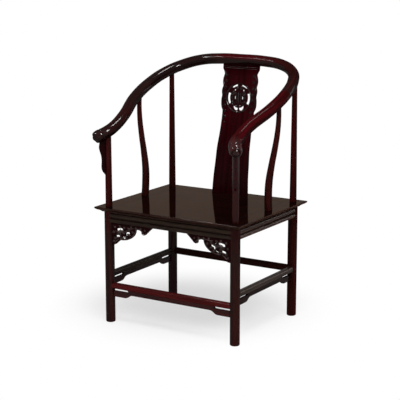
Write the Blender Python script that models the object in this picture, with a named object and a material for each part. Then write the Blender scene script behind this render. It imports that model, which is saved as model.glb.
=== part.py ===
"""Ming style horseshoe-back armchair, built from its separate wooden members.

Metres, +Z up. The front of the chair faces -Y and its left side is at -X. The origin is on
the floor under the middle of the chair.
"""
import math

import bmesh
import bpy
import numpy as np
from mathutils import Matrix, Vector

# Fitting
GAP = 0.0003
WELD = 0.00002
OVERRUN = 0.006

# Facets
TURNED_SIDES = 24
RAIL_SIDES = 20
POST_SIDES = 16
PEG_SIDES = 12
CURVE_SAMPLES = 2000
CREST_STEP = 0.017
SIDE_POST_RINGS = 15
NOSE_RINGS = 5
BEAD_STEPS = 6
OGEE_STEPS = 6
ROUNDING_STEPS = 3
OUTLINE_STEPS = 4
SPLAT_BANDS = 16
HEADING_SAMPLES = 4
CREASE_DEGREES = 32

# Legs and the posts turned on top of them
SEAT_HEIGHT = 0.460
LEG_SPACING_WIDE = 0.560
LEG_SPACING_DEEP = 0.443
LEG_RADIUS = 0.0185
FOOT_CHAMFER = 0.0025
NECK_RADIUS = 0.0144
FRONT_POST_FOOT_RADIUS = 0.0132
FRONT_POST_TOP_RADIUS = 0.0120
BACK_POST_FOOT_RADIUS = 0.01375
BACK_POST_TOP_RADIUS = 0.0095
POST_TENON_RADIUS = 0.006
POST_TENON_LENGTH = 0.011
POST_TENON_ROOT = 0.014

# Seat frame
SEAT_OVERHANG = 0.0412
SEAT_FRAME_THICKNESS = 0.0195
SEAT_MEMBER_WIDTH = 0.070
SEAT_EDGE_ROUND = 0.0024
SEAT_EDGE_LIP = 0.0050
SEAT_EDGE_UNDERCUT = 0.0220
MITRE_TENON_INSET = 0.012
MITRE_TENON_WIDTH = 0.012
MITRE_TENON_LENGTH = 0.011
MITRE_TENON_THICKNESS = 0.006
MITRE_TENON_DEPTH = 0.0078

# Seat panel and its battens
PANEL_THICKNESS = 0.010
PANEL_TONGUE_LENGTH = 0.0075
PANEL_TONGUE_THICKNESS = 0.0055
PANEL_EDGE_CHAMFER = 0.0006
BATTEN_SPACING = 0.220
BATTEN_WIDTH = 0.024
BATTEN_DEPTH = 0.016
BATTEN_TENON_LENGTH = 0.008
BATTEN_TENON_DEPTH = 0.005
BATTEN_TENON_WIDTH = 0.016

# Beaded rails under the seat frame
BEAD_RAIL_DEPTH = 0.0425
BEAD_RAIL_THICKNESS = 0.0200
BEAD_RAIL_FACE = 0.0157
BEAD_HEIGHT = 0.0150
BEAD_SWELL = 0.0045
BEAD_TOP_FILLET = 0.0058
BEAD_GROOVE = 0.0055
BEAD_TENON_THICKNESS = 0.008
BEAD_TENON_DEPTH = 0.026

# Stretchers
STRETCHER_HEIGHT = 0.0212
STRETCHER_WIDTH = 0.0240
STRETCHER_ROUND = 0.0060
FRONT_STRETCHER_TOP = 0.158
SIDE_STRETCHER_TOP = 0.2005
BACK_STRETCHER_TOP = 0.2035
BACK_STRETCHER_HEIGHT = 0.0250
STRETCHER_TENON_THICKNESS = 0.008
STRETCHER_TENON_MARGIN = 0.003
TENON_TIP_INSET = 0.0078
TENON_ROOT = 0.008

# Shaped aprons under the stretchers
APRON_THICKNESS = 0.0100
APRON_DEPTH = 0.0181
APRON_END_DROP = 0.0140
APRON_SLOT_HEIGHT = 0.0084
APRON_SLOT_REACH = 0.0780
APRON_SLOT_ROUND = 0.0040
APRON_OGEE_START = 0.1080
APRON_OGEE_END = 0.0700

# Pierced brackets in the front corners
SPANDREL_LENGTH = 0.1850
SPANDREL_DROP = 0.0860
SPANDREL_THICKNESS = 0.0090
SPANDREL_SETBACK = 0.0040
SPANDREL_EYE = 0.0030

# Crest rail
CREST_APEX_HEIGHT = 0.9900
CREST_NOSE_HEIGHT = 0.7320
CREST_SIDE_SWELL = 0.0285
CREST_BACK_REACH = 0.0795
CREST_NOSE_REACH = 0.0347
CREST_BACK_RADIUS = 0.0212
CREST_ARM_RADIUS = 0.0223
CREST_NOSE_RADIUS = 0.0238
SCARF_LENGTH = 0.080
PEG_WIDTH = 0.008
PEG_LENGTH = 0.026

# Splat
SPLAT_WIDTH = 0.1640
SPLAT_THICKNESS = 0.0100
SPLAT_SETBACK = 0.0090
SPLAT_TENON = 0.0090
MEDALLION_RADIUS = 0.0520
MEDALLION_DROP = 0.1295
MEDALLION_EYE = 0.0040

# Side posts
SIDE_POST_PLACE = 0.0230
SIDE_POST_LEAN = 0.0150
SIDE_POST_FOOT_RADIUS = 0.0147
SIDE_POST_TOP_RADIUS = 0.0090
SIDE_POST_TENON_RADIUS = 0.0070
SIDE_POST_TENON_LENGTH = 0.0110

# Brackets under the grips
GRIP_BRACKET_THICKNESS = 0.0110
GRIP_BRACKET_REACH = 0.0370
GRIP_BRACKET_DROP = 0.1480

# Wood colours
FRAME_COLOUR = (0.060, 0.014, 0.013)
SEAT_COLOUR = (0.052, 0.016, 0.014)
CARVED_COLOUR = (0.050, 0.011, 0.011)
CREST_COLOUR = (0.072, 0.013, 0.013)
WOOD_ROUGHNESS = 0.22

# How the crest's centre line runs from the middle of the back to the nose of an arm:
# across to the widest point, forward from back to nose, and down from apex to nose
CREST_ACROSS_SHARES = (0, 0.321, 0.600, 0.807, 0.940, 1, 0.985, 0.892, 0.882, 0.905, 0.9700)
CREST_FORWARD_SHARES = (0, 0.001, 0.017, 0.082, 0.204, 0.367, 0.558, 0.765, 0.881, 0.949, 1)
CREST_DROP_SHARES = (0, 0.006, 0.041, 0.118, 0.225, 0.370, 0.545, 0.751, 0.874, 0.939, 1)
CREST_RADIUS_PLACE_SHARES = (0, 0.25, 0.55, 0.90, 1)
SCARF_PLACE_SHARE = 0.50

# How far the undercut of the seat's edge bows from a straight bevel
OGEE_BOW_SHARE = 0.07

# Splat: where its edge and its lean lie between the seat and the crest
SPLAT_LEAN_HEIGHT_SHARES = (0, 0.2, 0.4, 0.6, 0.8, 1)
SPLAT_LEAN_SHARES = (0, 0.13, 0.34, 0.65, 0.82, 1)
SPLAT_EDGE_SHARES = (
    ((0.985, 0.00), (0.935, 0.18), (0.885, 0.37), (0.843, 0.56), (0.860, 0.645)),
    ((0.905, 0.655), (0.963, 0.715), (0.930, 0.760)),
    ((0.930, 0.760), (0.962, 0.797), (0.912, 0.832)),
    ((0.912, 0.832), (0.957, 0.873), (0.885, 0.928)),
    ((0.885, 0.928), (0.925, 0.945), (0.985, 0.962), (1.000, 0.992)),
)

# Medallion openings, as angle shares of a full turn and radius shares of the medallion
SIDE_OPENING_SHARES = (-0.090, 0.068, 0.68)
ARC_OPENING_SHARES = (0.138, 0.222, 0.90, 1.02)
PETAL_PLACE_SHARE = 0.32
PETAL_LENGTH_SHARE = 0.17
PETAL_WIDTH_SHARE = 0.068
EYE_ACROSS_SHARE = 0.37
EYE_UP_SHARE = 0.58

# Lobe at the foot of the medallion, across and up as shares of its radius
LOBE_OPENING_SHARES = (
    (0.045, -0.780), (0.045, -0.890), (0.240, -0.960), (0.430, -0.800), (0.445, -0.590), (0.360, -0.600), (0.220, -0.730),
)

# Corner bracket under the seat: along from the leg and down from the rail
SPANDREL_EDGE_SHARES = (
    ((0.00, 1.00), (0.07, 0.965), (0.14, 0.850), (0.205, 0.735)),
    ((0.205, 0.735), (0.30, 0.725), (0.42, 0.655), (0.505, 0.540), (0.560, 0.415), (0.585, 0.300)),
    ((0.585, 0.300), (0.602, 0.190), (0.670, 0.165), (0.738, 0.225)),
    ((0.738, 0.225), (0.752, 0.345), (0.81, 0.360), (0.865, 0.265), (0.935, 0.120), (1.00, 0.0)),
)
SPANDREL_OPENING_SHARES = (
    ((0.268, 0.210), (0.265, 0.285), (0.205, 0.305), (0.165, 0.400), (0.120, 0.395), (0.105, 0.260), (0.155, 0.200)),
    ((0.440, 0.350), (0.425, 0.410), (0.385, 0.440), (0.370, 0.520), (0.335, 0.470), (0.345, 0.370), (0.390, 0.325)),
    ((0.190, 0.550), (0.170, 0.625), (0.120, 0.645), (0.088, 0.590), (0.135, 0.525)),
    ((0.328, 0.580), (0.320, 0.640), (0.270, 0.660), (0.245, 0.620), (0.282, 0.568)),
)
SPANDREL_EYE_SHARES = ((0.460, 0.480), (0.335, 0.255))

# Side post: sideways sweep and thickness between seat and crest
SIDE_POST_HEIGHT_SHARES = (0, 0.12, 0.26, 0.42, 0.58, 0.74, 0.87, 1)
SIDE_POST_SWEEP_SHARES = (0, -0.07, -0.03, 0.27, 0.68, 1.00, 1.10, 1.05)
SIDE_POST_SLIM_SHARES = (0, 0.02, 0.12, 0.42, 0.62, 0.80, 0.95, 1)

# Grip bracket: outward from the post and down from the rail
GRIP_BRACKET_EDGE_SHARES = (
    ((0.86, 0.0), (0.94, 0.15), (1.00, 0.26), (0.92, 0.36), (0.77, 0.49), (0.72, 0.62)),
    ((0.72, 0.62), (0.745, 0.73), (0.735, 0.81), (0.61, 0.90), (0.43, 0.955), (0.30, 1.00)),
)

UP = Vector((0, 0, 1))
LEG_X = LEG_SPACING_WIDE / 2
LEG_Y = LEG_SPACING_DEEP / 2
SEAT_UNDERSIDE = SEAT_HEIGHT - SEAT_FRAME_THICKNESS
SEAT_EDGE_X = LEG_X + SEAT_OVERHANG
SEAT_EDGE_Y = LEG_Y + SEAT_OVERHANG
BEAD_RAIL_TOP = SEAT_UNDERSIDE - GAP
BEAD_RAIL_BOTTOM = BEAD_RAIL_TOP - BEAD_RAIL_DEPTH
CREST_BACK = LEG_Y + CREST_BACK_REACH
CREST_FRONT = LEG_Y + CREST_NOSE_REACH
CREST_HALF_WIDTH = LEG_X + CREST_SIDE_SWELL
CREST_UNDERSIDE = CREST_APEX_HEIGHT - CREST_BACK_RADIUS
CHAIR_MIDDLE = (CREST_BACK + CREST_BACK_RADIUS - CREST_FRONT - CREST_NOSE_RADIUS) / 2
SPLAT_FOOT = LEG_Y - SPLAT_SETBACK

FRONT = Vector((0, -1, 0))
BACK = Vector((0, 1, 0))
LEFT = Vector((-1, 0, 0))
RIGHT = Vector((1, 0, 0))


def clear_scene():
    """Empty the scene of its objects."""
    for item in list(bpy.data.objects):
        bpy.data.objects.remove(item, do_unlink=True)


def add_object(name, shape):
    """Weld a bmesh, turn its faces outwards and put it in the scene under a name."""
    bmesh.ops.remove_doubles(shape, verts=shape.verts, dist=WELD)
    bmesh.ops.recalc_face_normals(shape, faces=shape.faces)
    mesh = bpy.data.meshes.new(name)
    shape.to_mesh(mesh)
    shape.free()
    item = bpy.data.objects.new(name, mesh)
    bpy.context.scene.collection.objects.link(item)
    return item


def bake(item):
    """Turn an object's modifiers or curve into its plain mesh."""
    bpy.context.view_layer.update()
    graph = bpy.context.evaluated_depsgraph_get()
    mesh = bpy.data.meshes.new_from_object(item.evaluated_get(graph))
    item.modifiers.clear()
    item.data = mesh
    return item


def combine(item, tool, operation="DIFFERENCE"):
    """Cut, join or intersect an object with a tool, which is used up."""
    modifier = item.modifiers.new("combine", "BOOLEAN")
    modifier.operation = operation
    modifier.solver = "EXACT"
    modifier.object = tool
    bake(item)
    bpy.data.objects.remove(tool, do_unlink=True)
    return item


def loft(name, rings):
    """Skin a row of rings with equal point counts and close both ends."""
    shape = bmesh.new()
    rows = [[shape.verts.new(point) for point in ring] for ring in rings]
    count = len(rows[0])
    for low, high in zip(rows, rows[1:]):
        for k in range(count):
            nxt = (k + 1) % count
            shape.faces.new((low[k], low[nxt], high[nxt], high[k]))
    shape.faces.new(list(reversed(rows[0])))
    shape.faces.new(rows[-1])
    return add_object(name, shape)


def turned(name, centre, profile, sides=TURNED_SIDES):
    """Turn a profile of (radius, height) pairs about an upright axis."""
    rings = []
    for radius, height in profile:
        ring = []
        for k in range(sides):
            turn = math.tau * k / sides
            ring.append((centre.x + radius * math.cos(turn), centre.y + radius * math.sin(turn), height))
        rings.append(ring)
    return loft(name, rings)


def block(name, low, high):
    """A rectangular block between two corners."""
    corners = ((low[0], low[1]), (high[0], low[1]), (high[0], high[1]), (low[0], high[1]))
    rings = [[(x, y, z) for x, y in corners] for z in (low[2], high[2])]
    return loft(name, rings)


def smooth_curve(knots, count):
    """Even steps along a natural cubic spline through the knots."""
    knots = np.array(knots, dtype=float)
    steps = np.linalg.norm(np.diff(knots, axis=0), axis=1)
    places = np.concatenate(([0.0], np.cumsum(steps)))
    size = len(knots)
    system = np.zeros((size, size))
    target = np.zeros_like(knots)
    system[0, 0] = 1
    system[-1, -1] = 1
    for i in range(1, size - 1):
        system[i, i - 1] = steps[i - 1]
        system[i, i] = 2 * (steps[i - 1] + steps[i])
        system[i, i + 1] = steps[i]
        target[i] = 6 * ((knots[i + 1] - knots[i]) / steps[i] - (knots[i] - knots[i - 1]) / steps[i - 1])
    bends = np.linalg.solve(system, target)
    fine = np.linspace(0, places[-1], CURVE_SAMPLES)
    span = np.clip(np.searchsorted(places, fine, side="right") - 1, 0, size - 2)
    width = steps[span][:, None]
    ahead = (places[span + 1] - fine)[:, None]
    behind = (fine - places[span])[:, None]
    first = bends[span] * ahead ** 3 + bends[span + 1] * behind ** 3
    second = (knots[span] / width - bends[span] * width / 6) * ahead
    third = (knots[span + 1] / width - bends[span + 1] * width / 6) * behind
    points = first / (6 * width) + second + third
    run = np.concatenate(([0.0], np.cumsum(np.linalg.norm(np.diff(points, axis=0), axis=1))))
    even = np.linspace(0, run[-1], count)
    return np.stack([np.interp(even, run, points[:, k]) for k in range(points.shape[1])], axis=1)


def crest_knots():
    """The crest's centre line from the middle of the back to the right nose."""
    knots = []
    for across, forward, drop in zip(CREST_ACROSS_SHARES, CREST_FORWARD_SHARES, CREST_DROP_SHARES):
        x = across * CREST_HALF_WIDTH
        y = CREST_BACK - forward * (CREST_BACK + CREST_FRONT)
        z = CREST_APEX_HEIGHT - drop * (CREST_APEX_HEIGHT - CREST_NOSE_HEIGHT)
        knots.append((x, y, z))
    return knots


def crest_curve():
    """Points and signed distances along the whole crest, zero at the middle of the back."""
    right = crest_knots()
    left = [(-x, y, z) for x, y, z in reversed(right[1:])]
    points = smooth_curve(left + right, CURVE_SAMPLES)
    run = np.concatenate(([0.0], np.cumsum(np.linalg.norm(np.diff(points, axis=0), axis=1))))
    return points, run - run[-1] / 2


CREST_POINTS, CREST_PLACES = crest_curve()
CREST_REACH = CREST_PLACES[-1]
CREST_RADII = (CREST_BACK_RADIUS, CREST_BACK_RADIUS, CREST_ARM_RADIUS, CREST_ARM_RADIUS, CREST_NOSE_RADIUS)


def crest_point(place):
    """Centre of the crest at a distance along it."""
    return Vector([float(np.interp(place, CREST_PLACES, CREST_POINTS[:, k])) for k in range(3)])


def crest_heading(place):
    """Direction of the crest at a distance along it."""
    step = CREST_REACH / CURVE_SAMPLES * HEADING_SAMPLES
    low = max(place - step, CREST_PLACES[0])
    high = min(place + step, CREST_REACH)
    return (crest_point(high) - crest_point(low)).normalized()


def crest_radius(place):
    """Radius of the crest at a distance along it."""
    return float(np.interp(abs(place) / CREST_REACH, CREST_RADIUS_PLACE_SHARES, CREST_RADII))


def crest_place_above(depth):
    """How far along the right arm the crest passes over a depth in the chair."""
    half = CREST_PLACES >= 0
    return float(np.interp(-depth, -CREST_POINTS[half, 1], CREST_PLACES[half]))


def crest_ring(centre, heading, radius, part="whole"):
    """One ring across the crest, whole or cut to its upper or lower half."""
    across = heading.cross(UP).normalized()
    lift = across.cross(heading)
    ring = []
    for k in range(RAIL_SIDES):
        turn = math.tau * k / RAIL_SIDES
        rise = radius * math.sin(turn)
        if part == "upper":
            rise = max(rise, GAP / 2)
        if part == "lower":
            rise = min(rise, -GAP / 2)
        ring.append(centre + across * radius * math.cos(turn) + lift * rise)
    return ring


def crest_rings(start, end, part="whole", spread=0):
    """Rings along a stretch of the crest."""
    count = max(2, round(abs(end - start) / CREST_STEP) + 1)
    places = np.linspace(start, end, count)
    return [crest_ring(crest_point(p), crest_heading(p), crest_radius(p) + spread, part) for p in places]


def nose_rings(side, spread=0):
    """Rings that round off the rolled nose of an arm."""
    place = side * CREST_REACH
    heading = crest_heading(place) * side
    centre = crest_point(place)
    radius = crest_radius(place) + spread
    rings = []
    for k in range(1, NOSE_RINGS + 1):
        turn = math.pi / 2 * k / (NOSE_RINGS + 0.5)
        point = centre + heading * radius * math.sin(turn)
        rings.append(crest_ring(point, heading * side, radius * math.cos(turn)))
    return rings


def arm_tool(side, start, spread):
    """Solid of an arm from a place on the crest to past its nose, for coping what meets it."""
    rings = crest_rings(side * start, side * CREST_REACH, spread=spread) + nose_rings(side, spread)
    return loft("tool", rings)


def crest_tool(place, reach, spread):
    """Solid of the stretch of the crest round a place, for coping what meets it."""
    start = max(place - reach, -CREST_REACH)
    end = min(place + reach, CREST_REACH)
    return loft("tool", crest_rings(start, end, spread=spread))


def scarf_middle():
    """Distance along the crest to the middle of each scarf joint."""
    behind = crest_place_above(LEG_Y)
    ahead = crest_place_above(SIDE_POST_PLACE)
    return behind + (ahead - behind) * SCARF_PLACE_SHARE


def build_crest():
    """Crest rail in three lengths, lapped half and half with a locking peg in each scarf."""
    middle = scarf_middle()
    lap_start = middle - SCARF_LENGTH / 2
    lap_end = middle + SCARF_LENGTH / 2
    back = loft("crest_back", back_rings(lap_start, lap_end))
    arms = []
    for side, label in ((-1, "left"), (1, "right")):
        arms.append(loft(f"crest_arm_{label}", arm_rings(side, lap_start, lap_end)))
    pegs = []
    for side, label, arm in ((-1, "left", arms[0]), (1, "right", arms[1])):
        pegs.append(lay_peg(f"crest_peg_{label}", side * middle, (back, arm)))
    return back, arms, pegs


def back_rings(lap_start, lap_end):
    """Rings of the back length: whole between the scarfs, upper half within them."""
    rings = crest_rings(-lap_end, -lap_start, "upper")
    rings += crest_rings(-lap_start, lap_start)
    rings += crest_rings(lap_start, lap_end, "upper")
    return rings


def arm_rings(side, lap_start, lap_end):
    """Rings of one arm: lower half within the scarf, whole from there to the nose."""
    rings = crest_rings(side * (lap_start + GAP), side * (lap_end + GAP), "lower")
    rings += crest_rings(side * (lap_end + GAP), side * CREST_REACH)
    rings += nose_rings(side)
    return rings


def lay_peg(name, place, lengths):
    """A square peg across a scarf, half its thickness in each length of the crest."""
    heading = crest_heading(place)
    across = heading.cross(UP).normalized()
    lift = across.cross(heading)
    frame = Matrix((across, heading, lift)).transposed()
    centre = crest_point(place)

    def slab(spread):
        half = Vector((PEG_LENGTH, PEG_WIDTH, PEG_WIDTH)) / 2 + Vector((spread, spread, spread))
        item = block(name, -half, half)
        item.data.transform(Matrix.Translation(centre) @ frame.to_4x4())
        return item

    for length in lengths:
        combine(length, slab(GAP))
    return slab(0)


def leg_profile(end, spread=0):
    """Turned profile of a leg and its post: front legs at end -1, back legs at +1."""
    foot_radius = FRONT_POST_FOOT_RADIUS if end < 0 else BACK_POST_FOOT_RADIUS
    top_radius = FRONT_POST_TOP_RADIUS if end < 0 else BACK_POST_TOP_RADIUS
    top = crest_point(crest_place_above(end * LEG_Y)).z
    return (
        (LEG_RADIUS - FOOT_CHAMFER + spread, 0),
        (LEG_RADIUS + spread, FOOT_CHAMFER),
        (LEG_RADIUS + spread, SEAT_UNDERSIDE - GAP),
        (NECK_RADIUS + spread, SEAT_UNDERSIDE - GAP),
        (NECK_RADIUS + spread, SEAT_HEIGHT),
        (foot_radius + spread, SEAT_HEIGHT),
        (top_radius + spread, top),
    )


def seat_in_crest(post, axis, place, radius, length, lengths):
    """Cope a post to the underside of the crest and seat its round tenon in it."""
    combine(post, crest_tool(place, SCARF_LENGTH / 2, GAP))
    top = crest_point(place).z
    underside = top - crest_radius(place)
    tenon = ((radius, underside - POST_TENON_ROOT), (radius, underside + length))
    combine(post, turned("tool", axis, tenon, PEG_SIDES), "UNION")
    hole = ((radius + GAP, underside - POST_TENON_ROOT), (radius + GAP, underside + length + GAP))
    for item in lengths:
        combine(item, turned("tool", axis, hole, PEG_SIDES))


def build_leg(name, side, end, lengths):
    """One leg with its post, seated in the crest."""
    centre = Vector((side * LEG_X, end * LEG_Y, 0))
    leg = turned(name, centre, leg_profile(end))
    place = side * crest_place_above(end * LEG_Y)
    seat_in_crest(leg, centre, place, POST_TENON_RADIUS, POST_TENON_LENGTH, lengths)
    return leg


def side_frame(outward):
    """Middle of one side between its leg centres, its direction and half its length."""
    if outward.x:
        return Vector((outward.x * LEG_X, 0, 0)), Vector((0, 1, 0)), LEG_Y
    return Vector((0, outward.y * LEG_Y, 0)), Vector((1, 0, 0)), LEG_X


def member(name, outward, section):
    """Run a section of (outward, height) pairs from leg centre to leg centre."""
    middle, along, half = side_frame(outward)
    rings = []
    for end in (-half, half):
        rings.append([middle + along * end + outward * out + UP * height for out, height in section])
    return loft(name, rings)


def cope_to_legs(item, outward, low, high):
    """Hollow both ends of a member to the round of the legs."""
    middle, along, half = side_frame(outward)
    profile = ((LEG_RADIUS + GAP, low - OVERRUN), (LEG_RADIUS + GAP, high + OVERRUN))
    for end in (-half, half):
        combine(item, turned("tool", middle + along * end, profile))
    return item


def tenon_into_legs(item, outward, low, high, thickness, legs):
    """Give a member a tenon at each end and cut the mortises for them in its legs."""
    middle, along, half = side_frame(outward)
    for end, leg in zip((-1, 1), legs):
        root = middle + along * end * (half - LEG_RADIUS - TENON_ROOT)
        tip = middle + along * end * (half - TENON_TIP_INSET)
        for target, spread, operation in ((item, 0, "UNION"), (leg, GAP, "DIFFERENCE")):
            reach = tip + along * end * spread
            wide = outward * (thickness / 2 + spread)
            corners = [root - wide, root + wide, reach - wide, reach + wide]
            low_corner = [min(c[k] for c in corners) for k in range(2)] + [low - spread]
            high_corner = [max(c[k] for c in corners) for k in range(2)] + [high + spread]
            combine(target, block("tool", low_corner, high_corner), operation)


def rounded_section(width, low, high, radius):
    """Outline of a bar with rounded arrises, between two heights."""
    corners = (
        (width / 2 - radius, high - radius, 0),
        (radius - width / 2, high - radius, 1),
        (radius - width / 2, low + radius, 2),
        (width / 2 - radius, low + radius, 3),
    )
    section = []
    for out, height, quarter in corners:
        for k in range(ROUNDING_STEPS + 1):
            turn = math.pi / 2 * (quarter + k / ROUNDING_STEPS)
            section.append((out + radius * math.cos(turn), height + radius * math.sin(turn)))
    return section


def build_stretcher(name, outward, top, height, legs):
    """A stretcher between two legs, coped and tenoned."""
    low = top - height
    section = rounded_section(STRETCHER_WIDTH, low, top, STRETCHER_ROUND)
    item = cope_to_legs(member(name, outward, section), outward, low, top)
    margin = STRETCHER_TENON_MARGIN
    tenon_into_legs(item, outward, low + margin, top - margin, STRETCHER_TENON_THICKNESS, legs)
    return item


def bead_section():
    """Section of the rails under the seat: a fillet and two half-round beads on a flat board."""
    face = BEAD_RAIL_FACE - BEAD_SWELL
    inner = BEAD_RAIL_FACE - BEAD_RAIL_THICKNESS
    section = [(inner, BEAD_RAIL_TOP), (face, BEAD_RAIL_TOP)]
    first = BEAD_RAIL_TOP - BEAD_TOP_FILLET
    second = first - BEAD_HEIGHT - BEAD_GROOVE
    for top in (first, second):
        for k in range(BEAD_STEPS + 1):
            turn = math.pi * k / BEAD_STEPS
            drop = BEAD_HEIGHT / 2 * (1 - math.cos(turn))
            section.append((face + BEAD_SWELL * math.sin(turn), top - drop))
    section.append((face, BEAD_RAIL_BOTTOM))
    section.append((inner, BEAD_RAIL_BOTTOM))
    return section


def build_bead_rail(name, outward, legs):
    """A double-beaded rail under one side of the seat, coped and tenoned to its legs."""
    item = member(name, outward, bead_section())
    cope_to_legs(item, outward, BEAD_RAIL_BOTTOM, BEAD_RAIL_TOP)
    middle = (BEAD_RAIL_TOP + BEAD_RAIL_BOTTOM) / 2
    half = BEAD_TENON_DEPTH / 2
    tenon_into_legs(item, outward, middle - half, middle + half, BEAD_TENON_THICKNESS, legs)
    return item


def seat_section():
    """Section of the seat frame as (inward from the edge, height), with a groove for the panel."""
    top = SEAT_HEIGHT
    low = SEAT_UNDERSIDE
    inner = SEAT_MEMBER_WIDTH
    groove_top = top - PANEL_THICKNESS + PANEL_TONGUE_THICKNESS + GAP
    groove_low = top - PANEL_THICKNESS - GAP
    groove = inner - PANEL_TONGUE_LENGTH - GAP
    section = [(inner, top), (SEAT_EDGE_ROUND, top)]
    for k in range(1, ROUNDING_STEPS + 1):
        turn = math.pi / 2 * k / ROUNDING_STEPS
        section.append((SEAT_EDGE_ROUND * (1 - math.sin(turn)), top - SEAT_EDGE_ROUND * (1 - math.cos(turn))))
    lip = top - SEAT_EDGE_LIP
    for k in range(OGEE_STEPS + 1):
        share = k / OGEE_STEPS
        bow = OGEE_BOW_SHARE * math.sin(math.tau * share)
        section.append((SEAT_EDGE_UNDERCUT * share, lip - (lip - low) * (share + bow)))
    section += [(inner, low), (inner, groove_low), (groove, groove_low), (groove, groove_top), (inner, groove_top)]
    return section


def build_seat_rail(name, outward):
    """One member of the seat frame, mitred at both ends."""
    edge_out, edge_along = (SEAT_EDGE_X, SEAT_EDGE_Y) if outward.x else (SEAT_EDGE_Y, SEAT_EDGE_X)
    along = side_frame(outward)[1]
    relief = GAP / math.sqrt(2)
    rings = []
    for end in (-1, 1):
        ring = []
        for inward, height in seat_section():
            point = outward * (edge_out - inward) + along * end * (edge_along - inward - relief)
            ring.append(point + UP * height)
        rings.append(ring)
    return loft(name, rings)


def mitre_tenons(rails):
    """Tenons on the side rails of the seat, housed in the front and back rails."""
    middle = SEAT_HEIGHT - MITRE_TENON_DEPTH
    for side, rail in ((-1, rails["left"]), (1, rails["right"])):
        for end, house in ((-1, rails["front"]), (1, rails["back"])):
            for target, spread, operation in ((rail, 0, "UNION"), (house, GAP, "DIFFERENCE")):
                outer = MITRE_TENON_INSET - spread
                inner = MITRE_TENON_INSET + MITRE_TENON_WIDTH + spread
                xs = sorted((side * (SEAT_EDGE_X - outer), side * (SEAT_EDGE_X - inner)))
                tip = inner - MITRE_TENON_LENGTH - spread
                root = inner + MITRE_TENON_LENGTH / 2
                ys = sorted((end * (SEAT_EDGE_Y - tip), end * (SEAT_EDGE_Y - root)))
                half = MITRE_TENON_THICKNESS / 2 + spread
                low = (xs[0], ys[0], middle - half)
                high = (xs[1], ys[1], middle + half)
                combine(target, block("tool", low, high), operation)


def neck_holes(rails):
    """Round holes through the mitred corners for the necks of the legs."""
    profile = ((NECK_RADIUS + GAP, SEAT_UNDERSIDE - OVERRUN), (NECK_RADIUS + GAP, SEAT_HEIGHT + OVERRUN))
    for side, side_rail in ((-1, rails["left"]), (1, rails["right"])):
        for end, end_rail in ((-1, rails["front"]), (1, rails["back"])):
            for rail in (side_rail, end_rail):
                combine(rail, turned("tool", Vector((side * LEG_X, end * LEG_Y, 0)), profile))


def build_panel():
    """Floating seat panel, flush with the frame and tongued into its groove."""
    inner_x = SEAT_EDGE_X - SEAT_MEMBER_WIDTH
    inner_y = SEAT_EDGE_Y - SEAT_MEMBER_WIDTH
    low = SEAT_HEIGHT - PANEL_THICKNESS
    shoulder = low + PANEL_TONGUE_THICKNESS
    levels = (
        (PANEL_TONGUE_LENGTH, low),
        (PANEL_TONGUE_LENGTH, shoulder),
        (-GAP, shoulder),
        (-GAP, SEAT_HEIGHT - PANEL_EDGE_CHAMFER),
        (-GAP - PANEL_EDGE_CHAMFER, SEAT_HEIGHT),
    )
    rings = []
    for out, height in levels:
        x, y = inner_x + out, inner_y + out
        rings.append([(-x, -y, height), (x, -y, height), (x, y, height), (-x, y, height)])
    return loft("seat_panel", rings)


def build_batten(name, side, rails):
    """A batten across the underside of the panel, tenoned into the front and back rails."""
    top = SEAT_HEIGHT - PANEL_THICKNESS - GAP
    x = side * BATTEN_SPACING / 2
    reach = SEAT_EDGE_Y - SEAT_MEMBER_WIDTH - GAP
    half = BATTEN_WIDTH / 2
    item = block(name, (x - half, -reach, top - BATTEN_DEPTH), (x + half, reach, top))
    tip = reach + BATTEN_TENON_LENGTH
    tenon_half = BATTEN_TENON_WIDTH / 2
    low = SEAT_UNDERSIDE + (top - SEAT_UNDERSIDE - BATTEN_TENON_DEPTH) / 2
    high = low + BATTEN_TENON_DEPTH
    combine(item, block("tool", (x - tenon_half, -tip, low), (x + tenon_half, tip, high)), "UNION")
    for rail in (rails["front"], rails["back"]):
        corner = (x - tenon_half - GAP, -tip - GAP, low - GAP)
        opposite = (x + tenon_half + GAP, tip + GAP, high + GAP)
        combine(rail, block("tool", corner, opposite))
    return item


def smooth_runs(runs, scale):
    """Join smoothed runs of share pairs, meeting at sharp cusps, in real sizes."""
    points = []
    for run in runs:
        knots = [(a * scale[0], b * scale[1]) for a, b in run]
        curve = smooth_curve(knots, OUTLINE_STEPS * (len(knots) - 1) + 1)
        for point in curve:
            if not points or np.linalg.norm(np.subtract(point, points[-1])) > WELD:
                points.append(tuple(point))
    return points


def closed_smooth(knots):
    """A smooth closed outline through a few points."""
    wrapped = list(knots[-2:]) + list(knots) + list(knots[:2])
    curve = smooth_curve(wrapped, OUTLINE_STEPS * (len(wrapped) - 1) + 1)
    return [tuple(p) for p in curve[2 * OUTLINE_STEPS:-OUTLINE_STEPS - 1]]


def round_opening(centre, radius):
    """Points of a small round opening."""
    points = []
    for k in range(PEG_SIDES):
        turn = math.tau * k / PEG_SIDES
        points.append((centre[0] + radius * math.cos(turn), centre[1] + radius * math.sin(turn)))
    return points


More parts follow.
